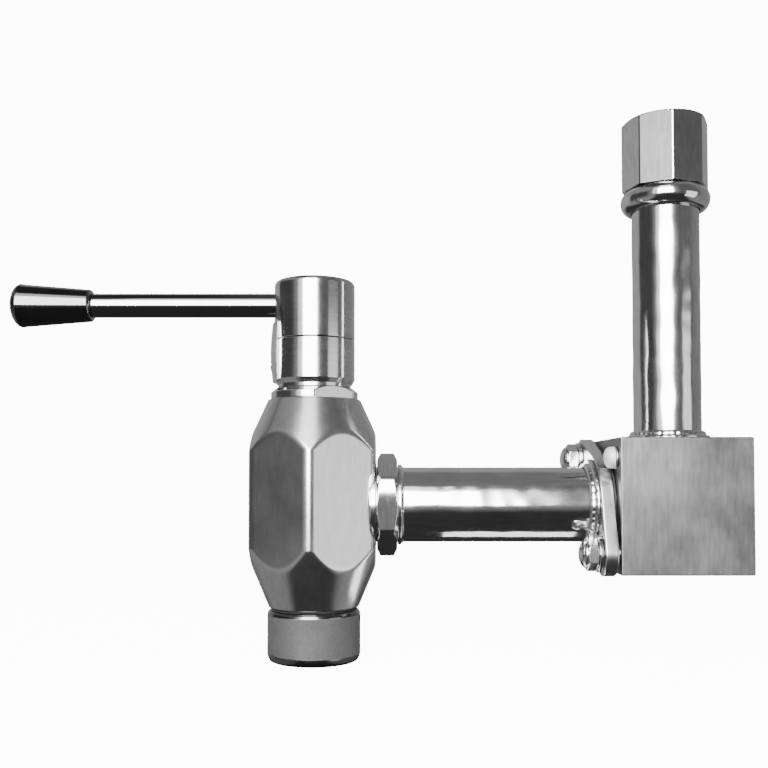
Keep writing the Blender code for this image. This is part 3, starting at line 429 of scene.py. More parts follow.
def grey(value):
    return (value, value, value)


def steel(name, tone, roughness, grain, depth=0.0015, blotch=12.0, spread=0.3, aniso=0.0, polish=0.6,
          milled=1.0):
    """Bare steel. `grain` is the size of its machining marks along X, Y and Z.

    `milled` and `polish` are how many times rougher its milled sides and its worn edges are than the rest.
    """
    finish = Finish(name)
    marks = finish.noise(grain, 2.0)
    patches = finish.noise((blotch, blotch, blotch), 4.0, 0.6)
    tones = finish.math("ADD", finish.math("MULTIPLY", marks, 0.55), finish.math("MULTIPLY", patches, 0.45))
    worn = finish.painted("worn")
    dark, light = grey(tone * (1 - spread / 2)), grey(tone * (1 + spread / 2))
    shade = finish.mix(finish.spread(tones, 0, 1), dark, light)
    bright = grey(min(tone * 1.35, 0.92))
    finish.wire("Base Color", finish.mix(finish.math("MULTIPLY", worn, 0.7), shade, bright))
    rough = finish.spread(patches, roughness * 0.88, roughness * 1.14)
    rough = finish.math("MULTIPLY", rough, finish.spread(finish.painted("milled"), 1.0, milled, 0.0, 1.0))
    rough = finish.math("MULTIPLY", rough, finish.spread(worn, 1.0, polish, 0.0, 1.0))
    finish.wire("Roughness", rough)
    finish.wire("Normal", finish.bump(marks, depth))
    finish.set(Metallic=1.0)
    if aniso:
        finish.set(Anisotropic=aniso, Anisotropic_Rotation=0.25)
        finish.tangent("Z")
    return finish.material


def chrome(name, tone=0.42):
    finish = Finish(name)
    haze = finish.noise((6, 6, 6), 4.0, 0.65)
    scratches = finish.noise((9, 0.25, 0.25), 2.0)
    finish.wire("Base Color", finish.mix(finish.spread(haze, 0, 1), grey(tone * 0.93), grey(tone)))
    finish.wire("Roughness", finish.spread(haze, 0.035, 0.09))
    finish.wire("Normal", finish.bump(scratches, 0.0004))
    finish.set(Metallic=1.0)
    return finish.material


def moulded_plastic(name):
    """Gloss black moulding with faint flow marks and handling haze."""
    finish = Finish(name)
    haze = finish.noise((5, 5, 5), 5.0, 0.6)
    skin = finish.noise((0.9, 0.9, 0.9), 3.0)
    finish.wire("Base Color", finish.mix(finish.spread(haze, 0, 1), grey(0.0008), grey(0.002)))
    finish.wire("Roughness", finish.spread(haze, 0.08, 0.16))
    finish.wire("Normal", finish.bump(skin, 0.001))
    finish.set(Coat_Weight=1.0, Coat_Roughness=0.03, Coat_IOR=1.9, Specular_IOR_Level=0.6)
    return finish.material


def rubber(name):
    finish = Finish(name)
    grain = finish.noise((0.35, 0.35, 0.35), 4.0)
    bloom = finish.noise((4, 4, 4), 4.0)
    finish.wire("Base Color", finish.mix(finish.spread(bloom, 0, 1), grey(0.012), grey(0.035)))
    finish.wire("Roughness", finish.spread(bloom, 0.5, 0.72))
    finish.wire("Normal", finish.bump(grain, 0.02))
    return finish.material


def fluoroplastic(name):
    finish = Finish(name)
    cloud = finish.noise((5, 5, 5), 3.0)
    marks = finish.noise((4, 4, 0.3), 3.0)
    finish.wire("Base Color", finish.mix(finish.spread(cloud, 0, 1), (0.78, 0.78, 0.74), (0.88, 0.88, 0.86)))
    finish.wire("Roughness", finish.spread(cloud, 0.32, 0.45))
    finish.wire("Normal", finish.bump(marks, 0.004))
    finish.set(Subsurface_Weight=0.15, Subsurface_Scale=0.002)
    return finish.material


def red_metal(name, dark, light, roughness):
    """Bronze or copper: turned, with darker tarnish in patches."""
    finish = Finish(name)
    tarnish = finish.noise((3, 3, 3), 5.0, 0.65)
    marks = finish.noise((8, 8, 0.25), 3.0)
    finish.wire("Base Color", finish.mix(finish.spread(tarnish, 0, 1), dark, light))
    finish.wire("Roughness", finish.spread(tarnish, roughness * 1.3, roughness * 0.8))
    finish.wire("Normal", finish.bump(marks, 0.003))
    finish.set(Metallic=1.0)
    return finish.material


UPRIGHT_TURNED = (16.0, 16.0, 0.8)      # grooves round an upright axis
ALONG_X_TURNED = (0.8, 16.0, 16.0)
UPRIGHT_BRUSHED = (1.0, 1.0, 9.0)
ALONG_X_BRUSHED = (16.0, 0.9, 0.9)
BLASTED = (0.9, 0.9, 0.9)

HUB_STEEL = steel("hub_turned_steel", 0.60, 0.15, UPRIGHT_TURNED, depth=0.0006, aniso=0.4)
NECK_STEEL = steel("neck_turned_steel", 0.60, 0.17, UPRIGHT_TURNED, depth=0.0006, aniso=0.4)
BODY_STEEL = steel("body_milled_steel", 0.60, 0.21, (2.2, 2.2, 8.0), depth=0.002, blotch=25.0, spread=0.2,
                   milled=1.1, polish=0.9)
SOCKET_STEEL = steel("socket_blasted_steel", 0.15, 0.78, BLASTED, depth=0.012, polish=0.2)
STRIP_STEEL = steel("strip_rolled_steel", 0.62, 0.22, UPRIGHT_BRUSHED)
PIPE_STEEL = steel("outlet_polished_steel", 0.62, 0.115, ALONG_X_BRUSHED, depth=0.0008)
RISER_STEEL = steel("riser_polished_steel", 0.62, 0.15, UPRIGHT_BRUSHED, depth=0.0008)
NUT_STEEL = steel("nut_bright_steel", 0.60, 0.03, ALONG_X_TURNED, depth=0.0002)
COUPLING_STEEL = steel("coupling_bright_steel", 0.60, 0.10, (1.6, 1.6, 7.0), depth=0.002)
FLANGE_STEEL = steel("flange_bright_steel", 0.60, 0.23, ALONG_X_TURNED, depth=0.0008)
BLOCK_STEEL = steel("block_brushed_steel", 0.24, 0.33, (1.4, 1.4, 9.0), depth=0.003, blotch=18.0, spread=0.5)
WELD_STEEL = steel("weld_bead_steel", 0.55, 0.22, (0.9, 0.9, 0.9), depth=0.008)
BOLT_STEEL = steel("bolt_bright_steel", 0.68, 0.16, ALONG_X_TURNED, depth=0.0006)
SATIN_STEEL = steel("vent_satin_steel", 0.92, 0.75, ALONG_X_TURNED, depth=0.0006)
INNER_STEEL = steel("inner_ground_steel", 0.55, 0.34, UPRIGHT_TURNED)
ROD_CHROME = chrome("rod_chrome")
KNOB_PLASTIC = moulded_plastic("knob_gloss_black")
SEAL_RUBBER = rubber("seal_nitrile_rubber")
SEAL_PLASTIC = fluoroplastic("seal_white_fluoroplastic")
BRONZE = red_metal("bush_turned_bronze", (0.33, 0.20, 0.09), (0.55, 0.37, 0.18), 0.36)
COPPER = red_metal("washer_tinned_copper", (0.40, 0.36, 0.33), (0.55, 0.52, 0.50), 0.36)


# -------------------------------- pieces

def ring(inner, outer, low, high, fillet, axis=STEM, sides=SIDES):
    return turned(rounded([(inner, low, fillet), (outer, low, fillet), (outer, high, fillet),
                           (inner, high, fillet)]), axis, sides)


def drill(radius, first, last, axis, sides=SIDES):
    """A cylinder to cut with, from one place on its axis to another."""
    return turned([(0, first, 0), (radius, first, 0), (radius, last, 0), (0, last, 0)], axis, sides)


def sector(inner, outer, low, high, first, last, sides):
    """Part of a ring to cut with, from one bearing to another in degrees."""
    outline = [(inner, low, 0), (outer, low, 0), (outer, high, 0), (inner, high, 0)]
    return turned(outline, sides=sides, start=first, sweep=last - first)


def polygon(count, radius):
    """The corners of a regular polygon about the origin."""
    turns = [TURN * side / count for side in range(count)]
    return [(radius * math.cos(turn), radius * math.sin(turn)) for turn in turns]


def rectangle(width, length):
    x, y = width / 2, length / 2
    return [(-x, -y), (x, -y), (x, y), (-x, y)]


def make_body():
    low, high = box("valve_body")
    corner_radius, end_fillet, corner_fillet = high.y, 0.4, 0.8
    outline = rounded([
        (0, low.z, 0), (BODY_BOTTOM_RADIUS, low.z, end_fillet), (corner_radius, BODY_CONE_LOW, corner_fillet),
        (corner_radius, BODY_CONE_HIGH, corner_fillet), (BODY_TOP_RADIUS, high.z, end_fillet),
        (0, high.z, 0)])
    outline = subdivided(outline, 0.55)
    blank = turned(outline, sides=360, limit=flats(6, 2 * high.x, 30), blend=BODY_EDGE_BLEND)
    below, above, past = low.z - OVERRUN, high.z + OVERRUN, high.x + OVERRUN
    inlet_radius, bonnet_radius = SPIGOT_RADIUS + GAP, BONNET_SPIGOT_RADIUS + GAP
    cavity = turned([
        (0, below, 0), (inlet_radius, below, 0), (inlet_radius, SPIGOT_TOP + GAP, 0),
        (FLOW_RADIUS, SPIGOT_TOP + GAP, 0), (FLOW_RADIUS, CAVITY_BOTTOM, 0),
        (CAVITY_LOW_RADIUS, CAVITY_BOTTOM, 0), (CAVITY_HIGH_RADIUS, CAVITY_TOP, 0),
        (bonnet_radius, CAVITY_TOP, 0), (bonnet_radius, above, 0), (0, above, 0)], sides=96)
    pipe_start, pipe_radius = box("outlet_pipe")[0].x - GAP, pipe_outer_radius() + GAP
    outlet = turned([
        (0, OUTLET_DRILL_START, 0), (FLOW_RADIUS, OUTLET_DRILL_START, 0), (FLOW_RADIUS, pipe_start, 0),
        (pipe_radius, pipe_start, 0), (pipe_radius, SPOT_FACE, 0), (SPOT_FACE_RADIUS, SPOT_FACE, 0),
        (SPOT_FACE_RADIUS, past, 0), (0, past, 0)], OUTLET, 128)
    stand_for("body_machined", cut(blank, cavity, outlet), BODY_STEEL, ["valve_body"])


def pipe_outer_radius():
    """The outlet pipe's radius beside its step, which its weld clears by the usual gap."""
    return box("flange_weld")[1].y - WELD_FOOT - GAP


def make_socket():
    low, high = box("inlet_socket")
    radius = high.x
    (edge_in, edge_up), (shoulder_in, shoulder_down) = SOCKET_EDGE, SOCKET_SHOULDER
    edge = arc((radius - edge_in, low.z + edge_up), SOCKET_EDGE, -90, 0, 10, 0.9)
    shoulder = arc((radius - shoulder_in, SOCKET_TOP - shoulder_down), SOCKET_SHOULDER, 0, 90, 8, 1.0)
    outline = [(SOCKET_BORE_RADIUS + SOCKET_BORE_CHAMFER, low.z, 0.8), *edge, *shoulder,
               (SPIGOT_RADIUS, SOCKET_TOP, 0), (SPIGOT_RADIUS, SPIGOT_TOP, 0), (FLOW_RADIUS, SPIGOT_TOP, 0),
               (FLOW_RADIUS, SOCKET_BORE_DEPTH, 0), (SOCKET_BORE_RADIUS, SOCKET_BORE_DEPTH, 0),
               (SOCKET_BORE_RADIUS, low.z + SOCKET_BORE_CHAMFER, 0)]
    stand_for("socket_blasted", turned(outline), SOCKET_STEEL, ["inlet_socket"])
    low, high = box("inlet_gasket")
    gasket = ring(SPIGOT_RADIUS + GAP, high.x, low.z, high.z, 0.15)
    stand_for("socket_gasket", gasket, SEAL_RUBBER, ["inlet_gasket"])


def collar_limit(angle, height):
    """The bonnet's two wrench flats, which reach only as high as its collar."""
    if height > COLLAR_TOP + WRENCH_FLATS_RISE:
        return UNLIMITED
    off = math.radians(angle - WRENCH_BEARING)
    return WRENCH_FLATS / 2 / max(abs(math.cos(off)), 1e-3)


def make_bonnet():
    low, high = box("bonnet")
    collar_low, above = box("valve_body")[1].z + GAP, high.z + OVERRUN
    (collar_in, collar_down), (neck_in, neck_up) = COLLAR_CHAMFER, NECK_CHAMFER
    outline = rounded([
        (BONNET_MOUTH_RADIUS, low.z, 0), (BONNET_SPIGOT_RADIUS, low.z, 0.3),
        (BONNET_SPIGOT_RADIUS, collar_low, 0), (COLLAR_RADIUS, collar_low, 0.25),
        (COLLAR_RADIUS, COLLAR_TOP - collar_down, 0.5), (COLLAR_RADIUS - collar_in, COLLAR_TOP, 0.3),
        (UNDERCUT_RADIUS, COLLAR_TOP, 0), (UNDERCUT_RADIUS, NECK_BOTTOM, 0),
        (NECK_RADIUS - neck_in, NECK_BOTTOM, 0.2), (NECK_RADIUS, NECK_BOTTOM + neck_up, 0.4),
        (NECK_RADIUS, high.z, 0.35), (GLAND_RADIUS, high.z, 0.3),
        (GLAND_RADIUS, GLAND_BOTTOM, 0), (PACKING_RADIUS, GLAND_BOTTOM, 0),
        (PACKING_RADIUS, PACKING_BOTTOM, 0), (STEM_BORE_RADIUS, PACKING_BOTTOM, 0),
        (STEM_BORE_RADIUS, BONNET_MOUTH_TOP, 0), (BONNET_MOUTH_RADIUS, BONNET_MOUTH_TOP, 0)])
    outline = subdivided(outline, 0.3, collar_low, COLLAR_TOP + 0.1)
    blank = turned(outline, sides=300, limit=collar_limit, blend=0.25)
    side = STRIP_HALF_ANGLE + 1
    pocket = sector(STRIP_INNER - GAP, NECK_RADIUS + OVERRUN, STRIP_POCKET_BOTTOM, above,
                    180 - side, 180 + side, 60)
    stand_for("bonnet_turned", cut(blank, pocket), NECK_STEEL, ["bonnet"])


def make_strip():
    low, high = box("stop_strip")
    steps, outside = 16, []
    for step in range(steps + 1):
        share = step / steps
        radius = STRIP_OUTER + STRIP_BOW * math.sin(math.pi * share)
        outside.append((radius, low.z + (high.z - low.z) * share, 0.0))
    strip = turned([(STRIP_INNER, low.z, 0.0), *outside, (STRIP_INNER, high.z, 0.0)], sides=48,
                   start=180 - STRIP_HALF_ANGLE, sweep=2 * STRIP_HALF_ANGLE)
    screw_axis = Axis((0, 0, STOP_SCREW_HEIGHT), along_x=True)
    hole_radius, head_hole_radius = STOP_SCREW_RADIUS + GAP, STOP_SCREW_HEAD + GAP
    past_tip, past_face, past_head = -13.0, -21.0, -24.0
    hole = turned([
        (0, past_tip, 0), (hole_radius, past_tip, 0), (hole_radius, STOP_SCREW_NECK, 0),
        (head_hole_radius, STOP_SCREW_FACE, 0), (head_hole_radius, past_head, 0), (0, past_head, 0)],
        screw_axis, 48)
    stand_for("stop_strip_rolled", cut(strip, hole), STRIP_STEEL, ["stop_strip"])
    screw = turned(rounded([
        (0, STOP_SCREW_TIP, 0), (STOP_SCREW_RADIUS, STOP_SCREW_TIP, 0),
        (STOP_SCREW_RADIUS, STOP_SCREW_NECK, 0), (STOP_SCREW_HEAD, STOP_SCREW_FACE, 0.12),
        (0, STOP_SCREW_FACE, 0)]), screw_axis, 48)
    slot = prism(rectangle(SLOT_WIDTH, SLOT_LENGTH), past_face, SLOT_FLOOR, screw_axis)
    stand_for("stop_screw_slotted", cut(screw, slot), BOLT_STEEL, ["stop_screw"])


def make_hub():
    low, high = box("lever_hub")
    radius, floor = high.x, low.z + HUB_FLOOR_DEPTH
    top = arc((radius - HUB_ROUND, high.z - HUB_ROUND), (HUB_ROUND, HUB_ROUND), 0, 90, 12)
    blank = turned(rounded([
        (GLAND_RADIUS, low.z, 0.3), (radius, low.z, 0.35), *top, (HUB_SEAT_RADIUS, high.z, 0.4),
        (HUB_SEAT_RADIUS, HUB_SEAT, 0), (HUB_SCREW_BORE, HUB_SEAT, 0), (HUB_SCREW_BORE, floor, 0),
        (GLAND_RADIUS, floor, 0)]))
    below, past = low.z - OVERRUN, -radius - OVERRUN
    side = STRIP_HALF_ANGLE + 1
    recess = sector(STRIP_INNER - GAP, radius + OVERRUN, below, box("stop_strip")[1].z + GAP,
                    180 - LEVER_TRAVEL - side, 180 + side, 96)
    rod = box("lever_rod")[1]
    rod_hole, tip_hole, shoulder, end = rod.y + GAP, ROD_TIP_RADIUS + GAP, ROD_SHOULDER + GAP, rod.x + GAP
    hole = turned([(0, past, 0), (rod_hole, past, 0), (rod_hole, shoulder, 0), (tip_hole, shoulder, 0),
                   (tip_hole, end, 0), (0, end, 0)], LEVER, 64)
    hub = cut(blank, prism(rectangle(HUB_SQUARE, HUB_SQUARE), below, HUB_SQUARE_TOP), recess, hole)
    stand_for("hub_turned", hub, HUB_STEEL, ["lever_hub"], "lever")


def make_lever():
    low, high = box("lever_rod")
    rod_radius, knob_end = high.y, box("lever_knob")[1].x + GAP
    rod = turned(rounded([
        (0, high.x, 0), (ROD_TIP_RADIUS, high.x, 0.4), (ROD_TIP_RADIUS, ROD_SHOULDER, 0),
        (rod_radius, ROD_SHOULDER, 0.3), (rod_radius, knob_end, 0.6), (ROD_TAIL_RADIUS, knob_end, 0),
        (ROD_TAIL_RADIUS, low.x, 0.3), (0, low.x, 0)]), LEVER, 96)
    stand_for("rod_chromed", rod, ROD_CHROME, ["lever_rod"], "lever")

    low, high = box("lever_knob")
    big, small = high.y, KNOB_SMALL_RADIUS
    dome = arc((0, low.x + KNOB_DOME), (big, KNOB_DOME), 0, -90, 24)[1:-1]
    mouth = arc((small - KNOB_ROUND, high.x - KNOB_ROUND), (KNOB_ROUND, KNOB_ROUND), 90, 0, 8)
    rim = [(big - inward, low.x + KNOB_DOME + forward, 0.0) for inward, forward in KNOB_RIM]
    knob = turned([(KNOB_BORE_RADIUS, high.x, 0.0), *mouth, *rim, *dome, (0, low.x, 0.0),
                   (0, KNOB_BORE_END, 0.0), (KNOB_BORE_RADIUS, KNOB_BORE_END, 0.0)], LEVER, 128)
    stand_for("knob_moulded", knob, KNOB_PLASTIC, ["lever_knob"], "lever")

    low, high = box("hub_washer")
    washer = ring(HUB_SCREW_BORE, high.x, low.z, high.z, 0.2)
    stand_for("hub_washer_ground", washer, INNER_STEEL, ["hub_washer"], "lever")
    head_bottom = high.z + GAP
    low, high = box("hub_screw")
    screw = turned(rounded([
        (0, low.z, 0), (HUB_SCREW_RADIUS, low.z, 0.3), (HUB_SCREW_RADIUS, head_bottom, 0),
        (high.x, head_bottom, 0.2), (high.x, high.z, 0.6), (0, high.z, 0)]))
    key = prism(polygon(6, HUB_KEY_RADIUS), high.z - HUB_KEY_DEPTH, high.z + OVERRUN)
    stand_for("hub_screw_socket_head", cut(screw, key), BOLT_STEEL, ["hub_screw"], "lever")


def make_outlet():
    low, high = box("outlet_pipe")
    radius = pipe_outer_radius()
    step_start = box("lock_nut")[1].x + GAP
    outline = rounded([
        (PIPE_BORE_RADIUS, low.x, 0.3), (radius, low.x, 0.3), (radius, step_start, 0),
        (PIPE_STEP_RADIUS, step_start, 0.35), (PIPE_STEP_RADIUS, PIPE_STEP_END - PIPE_STEP_LEAD, 0.4),
        (radius, PIPE_STEP_END, 0), (radius, high.x, 0.3), (PIPE_BORE_RADIUS, high.x, 0.3)])
    outline = subdivided(outline, 1.2)
    pipe = turned(outline, OUTLET, 160, wave=wobble(size=7.0, depth=0.10, seed=3.0, around=2.0))
    stand_for("outlet_pipe_polished", pipe, PIPE_STEEL, ["outlet_pipe"])

    low, high = box("seal_washer")
    washer = ring(radius + GAP, high.y, low.x, high.x, 0.45, OUTLET)
    stand_for("seal_washer_bright", washer, BOLT_STEEL, ["seal_washer"])


def make_lock_nut():
    low, high = box("lock_nut")
    lead_out, lead_in = LOCK_NUT_LEAD
    bore, corner, face = pipe_outer_radius() + GAP, high.z - OUTLET_HEIGHT, LOCK_NUT_FLATS / 2 - 0.3
    outline = rounded([
        (bore, low.x + lead_in, 0), (bore + lead_out, low.x, 0), (face, low.x, 0.3),
        (corner, low.x + LOCK_NUT_CHAMFER, 0.3), (corner, high.x - LOCK_NUT_CHAMFER, 0.3),
        (face, high.x, 0.3), (bore + lead_out, high.x, 0), (bore, high.x - lead_in, 0)])
    nut = turned(subdivided(outline, 0.35), OUTLET, 300, flats(6, LOCK_NUT_FLATS, 0), 0.3)
    stand_for("lock_nut_bright", nut, NUT_STEEL, ["lock_nut"], "lock_nut")


def weld_bead(start, toward, side, axis, ripples, seed):
    """A fillet weld round a pipe, with a hollow face and ripples that lap over each other like coins."""
    foot, steps = WELD_FOOT, 8
    section = [(side, start, 0.0), (side + foot, start, 0.0)]
    for step in range(1, steps):
        angle = math.radians(90 * step / steps)
        reach = foot * (0.62 + 0.38 * abs(math.cos(2 * angle)))
        section.append((side + reach * math.cos(angle), start + toward * reach * math.sin(angle), 0.6))
    section.append((side, start + toward * foot, 0.0))

    def wave(angle, height):
        if abs(height - start) < 0.01:
            return 0.0
        lap = (angle * ripples / 360.0 + 0.35 * math.sin(math.radians(angle) * 3 + seed)) % 1.0
        unevenness = noise.noise(Vector((angle / 17.0, height / 3.0, seed)))
        crest = math.sqrt(max(0.0, 1 - (2 * lap - 1) ** 2)) - 0.6
        return min(WELD_RIPPLE * crest + WELD_UNEVENNESS * unevenness, WELD_CREST)
    return turned(section, axis, 288, wave=wave)


def flange_outline():
    """The flange's oval: a disc and two lobes on one diagonal."""
    reach = LOBE_OFFSET * math.sqrt(2)
    touch = math.degrees(math.acos((FLANGE_RADIUS - LOBE_RADIUS) / reach))
    corners = []
    for bearing in (135, 315):
        turn = math.radians(bearing)
        lobe = (reach * math.cos(turn), reach * math.sin(turn))
        corners += arc(lobe, (LOBE_RADIUS, LOBE_RADIUS), bearing - touch, bearing + touch, 28)
        corners += arc((0, 0), (FLANGE_RADIUS, FLANGE_RADIUS), bearing + touch, bearing + 180 - touch, 18)
    return [corner[:2] for corner in corners]


def make_flange():
    side = pipe_outer_radius() + GAP
    bead = weld_bead(box("flange_weld")[1].x, -1, side, OUTLET, ripples=34, seed=1.7)
    stand_for("flange_weld_bead", bead, WELD_STEEL, ["flange_weld"])

    low, high = box("outlet_flange")
    plate = prism(flange_outline(), low.x, high.x, OUTLET, FLANGE_BEVEL)
    before, past = low.x - FLANGE_OVERRUN, high.x + FLANGE_OVERRUN
    tools = [drill(side, before, past, OUTLET)]
    for offset in (LOBE_OFFSET, -LOBE_OFFSET):
        hole_axis = Axis((0, offset, OUTLET_HEIGHT + offset), along_x=True)
        tools.append(drill(BOLT_SHANK_RADIUS + GAP, before, past, hole_axis, 48))
    stand_for("outlet_flange_bright", cut(plate, *tools), FLANGE_STEEL, ["outlet_flange"])

    low, high = box("flange_gasket")
    gasket = ring(side, high.y, low.x, high.x, 0.12, OUTLET)
    stand_for("flange_gasket_pressed", gasket, SEAL_RUBBER, ["flange_gasket"])


def make_bolt(place):
    """A domed hexagon screw and its washer, lower or upper."""
    node = f"flange_bolt_{place}"
    low, high = box(node)
    centre = middle(node)
    axis = Axis((0, centre.y, centre.z), along_x=True)
    washer_low, washer_high = box(f"flange_washer_{place}")
    head_high = washer_low.x - GAP
    head_low = head_high - BOLT_HEAD_LENGTH
    dome = arc((0, low.x + BOLT_DOME_LENGTH), (BOLT_DOME_RADIUS, BOLT_DOME_LENGTH), -90, 0, 10)[1:]
    corner = BOLT_HEAD_FLATS / math.sqrt(3)
    ledge, chamfer, edge_in, edge_down = 0.1, 0.9, 0.6, 0.3
    outline = rounded([
        (0, low.x, 0), *dome, (BOLT_DOME_RADIUS + ledge, head_low, 0), (corner, head_low + chamfer, 0.25),
        (corner, head_high - edge_down, 0.2), (corner - edge_in, head_high, 0),
        (BOLT_SHANK_RADIUS, head_high, 0), (BOLT_SHANK_RADIUS, high.x, 0.3), (0, high.x, 0)])
    outline = subdivided(outline, 0.45, low.x, head_high)
    bolt = turned(outline, axis, 180, flats(6, BOLT_HEAD_FLATS, 0), 0.25)
    stand_for(f"flange_bolt_{place}_domed", bolt, BOLT_STEEL, [node])
    bore, radius = BOLT_SHANK_RADIUS + GAP, washer_high.y - centre.y
    washer = ring(bore, radius, washer_low.x, washer_high.x, 0.3, axis, 96)
    stand_for(f"flange_washer_{place}_bright", washer, BOLT_STEEL, [f"flange_washer_{place}"])


def make_block():
    low, high = box("elbow_block")
    shape = bmesh.new()
    bmesh.ops.create_cube(shape, size=1.0)
    bmesh.ops.scale(shape, vec=(high - low) * MM, verts=shape.verts)
    bmesh.ops.translate(shape, vec=(low + high) / 2 * MM, verts=shape.verts)
    bmesh.ops.bevel(shape, geom=shape.edges[:], offset=BLOCK_BEVEL * MM, segments=4, profile=0.5,
                    affect="EDGES")
    blank = finished(shape)
    side, riser_side = pipe_outer_radius() + GAP, riser_radius() + GAP
    before, above = low.x - OVERRUN, high.z + OVERRUN
    across = turned([
        (0, before, 0), (side, before, 0), (side, PIPE_STOP, 0), (BLOCK_BORE_RADIUS, PIPE_STOP, 0),
        (BLOCK_BORE_RADIUS, BLOCK_DRILL_END, 0), (0, BLOCK_DRILL_END, 0)], OUTLET)
    upward = turned([
        (0, BLOCK_DRILL_BOTTOM, 0), (BLOCK_BORE_RADIUS, BLOCK_DRILL_BOTTOM, 0),
        (BLOCK_BORE_RADIUS, RISER_POCKET, 0), (riser_side, RISER_POCKET, 0), (riser_side, above, 0),
        (0, above, 0)], RISER)
    holes = []
    bolt, vent = (BOLT_SHANK_RADIUS, BOLT_HOLE_END), (VENT_SHANK_RADIUS, VENT_HOLE_END)
    for y, z, (radius, end) in ((1, 1, bolt), (-1, -1, bolt), (-1, 1, vent)):
        hole_axis = Axis((0, y * LOBE_OFFSET, OUTLET_HEIGHT + z * LOBE_OFFSET), along_x=True)
        holes.append(drill(radius + GAP, before, end, hole_axis, 48))
    block = cut(blank, across, upward, *holes)
    stand_for("elbow_block_brushed", block, BLOCK_STEEL, ["elbow_block"])


def make_vent():
    low, high = box("vent_seal")
    centre = middle("vent_seal")
    axis = Axis((0, centre.y, centre.z), along_x=True)
    seal = ring(VENT_SHANK_RADIUS + GAP, high.y - centre.y, low.x, high.x, 0.15, axis, 96)
    stand_for("vent_seal_soft", seal, COPPER, ["vent_seal"])
    head_high, high = low.x - GAP, box("vent_screw")[1]
    head, crown_start = high.y - centre.y, head_high - VENT_CROWN
    crown = arc((0, crown_start), (head, VENT_CROWN_LENGTH), -90, 0, 14)[1:]
    screw = turned([
        (0, crown_start - VENT_CROWN_LENGTH, 0), *crown, (head, head_high, 0),
        (VENT_SHANK_RADIUS, head_high, 0), (VENT_SHANK_RADIUS, high.x, 0), (0, high.x, 0)], axis, 96)
    stand_for("vent_screw_domed", screw, SATIN_STEEL, ["vent_screw"])


def riser_radius():
    """The riser's radius, which its weld clears by the usual gap."""
    return box("riser_weld")[1].y - WELD_FOOT - GAP


def make_riser():
    low, high = box("riser_pipe")
    radius, bead, (bead_low, bead_high) = riser_radius(), high.y, RISER_BEAD
    outline = rounded([
        (RISER_BORE_RADIUS, low.z, 0.3), (radius, low.z, 0.3), (radius, bead_low - RISER_BEAD_LEAD, 0),
        (bead, bead_low, 0.3), (bead, bead_high, 0.3), (radius, bead_high + RISER_BEAD_LEAD, 0),
        (radius, high.z, 0.3), (RISER_BORE_RADIUS, high.z, 0.3)])
    wave = wobble(size=9.0, depth=0.16, seed=11.0, around=2.2)
    pipe = turned(subdivided(outline, 1.2), RISER, 160,
                  wave=lambda angle, height: wave(angle, height) if height < RISER_EVEN_ABOVE else 0.0)
    stand_for("riser_pipe_polished", pipe, RISER_STEEL, ["riser_pipe"])
    weld = weld_bead(box("riser_weld")[0].z, 1, radius + GAP, RISER, ripples=30, seed=4.1)
    stand_for("riser_weld_bead", weld, WELD_STEEL, ["riser_weld"])
    low, high = box("riser_gasket")
    gasket = ring(GASKET_BORE_RADIUS, high.y, low.z, high.z, 0.3, RISER)
    stand_for("riser_gasket_moulded", gasket, SEAL_RUBBER, ["riser_gasket"])
    low, high = box("slip_ring")
    slip = ring(SLIDE_BORE_RADIUS, high.y, low.z, high.z, 0.2, RISER)
    stand_for("slip_ring_turned", slip, BRONZE, ["slip_ring"], "slip_ring")


def make_coupling():
    low, high = box("coupling_nut")
    centre = (low.z + COUPLING_BEAD_TOP) / 2
    swell_centre = (high.y - COUPLING_SWELL, centre)
    swell = arc(swell_centre, (COUPLING_SWELL, COUPLING_BEAD_TOP - centre), -90, 78, 14, 0.8)
    chamfer_in, chamfer_down, lead = 0.35, 1.3, 0.5
    outline = rounded([
        (SLIDE_BORE_RADIUS, low.z, 0), *swell, (COUPLING_CORNER, COUPLING_BEAD_TOP, 0),
        (COUPLING_CORNER, high.z - chamfer_down, 0.3), (COUPLING_FLATS / 2 - chamfer_in, high.z, 0.25),
        (COUPLING_BORE_RADIUS + lead, high.z, 0.15), (COUPLING_BORE_RADIUS, high.z - lead, 0),
        (COUPLING_BORE_RADIUS, COUPLING_SHOULDER, 0), (SLIDE_BORE_RADIUS, COUPLING_SHOULDER, 0)])
    octagon = flats(8, COUPLING_FLATS, COUPLING_TURN)

    def limit(angle, height):
        return octagon(angle, height) if height > COUPLING_BEAD_TOP - 0.4 else UNLIMITED
    nut = turned(subdivided(outline, 0.6), RISER, 320, limit, 0.22)
    stand_for("coupling_nut_bright", nut, COUPLING_STEEL, ["coupling_nut"], "coupling_nut")


def finish_hidden_nodes():
    """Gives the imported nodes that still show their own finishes."""
    hidden = {
        "plug": BOLT_STEEL, "stem": INNER_STEEL, "thrust_washer": INNER_STEEL, "disc_spring": INNER_STEEL,
        "gland_nut": INNER_STEEL, "plug_sleeve": SEAL_PLASTIC, "stem_washer": SEAL_PLASTIC,
        "packing_ring_1": SEAL_PLASTIC, "packing_ring_2": SEAL_PLASTIC, "packing_ring_3": SEAL_PLASTIC,
        "stem_o_ring": SEAL_RUBBER, "bonnet_o_ring": SEAL_RUBBER, "gland_follower": BRONZE,
        "knob_insert": BRONZE,
    }
    for node, material in hidden.items():
        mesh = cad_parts[node].data
        mesh.materials.clear()
        mesh.materials.append(material)


# -------------------------------- stage, lights and camera

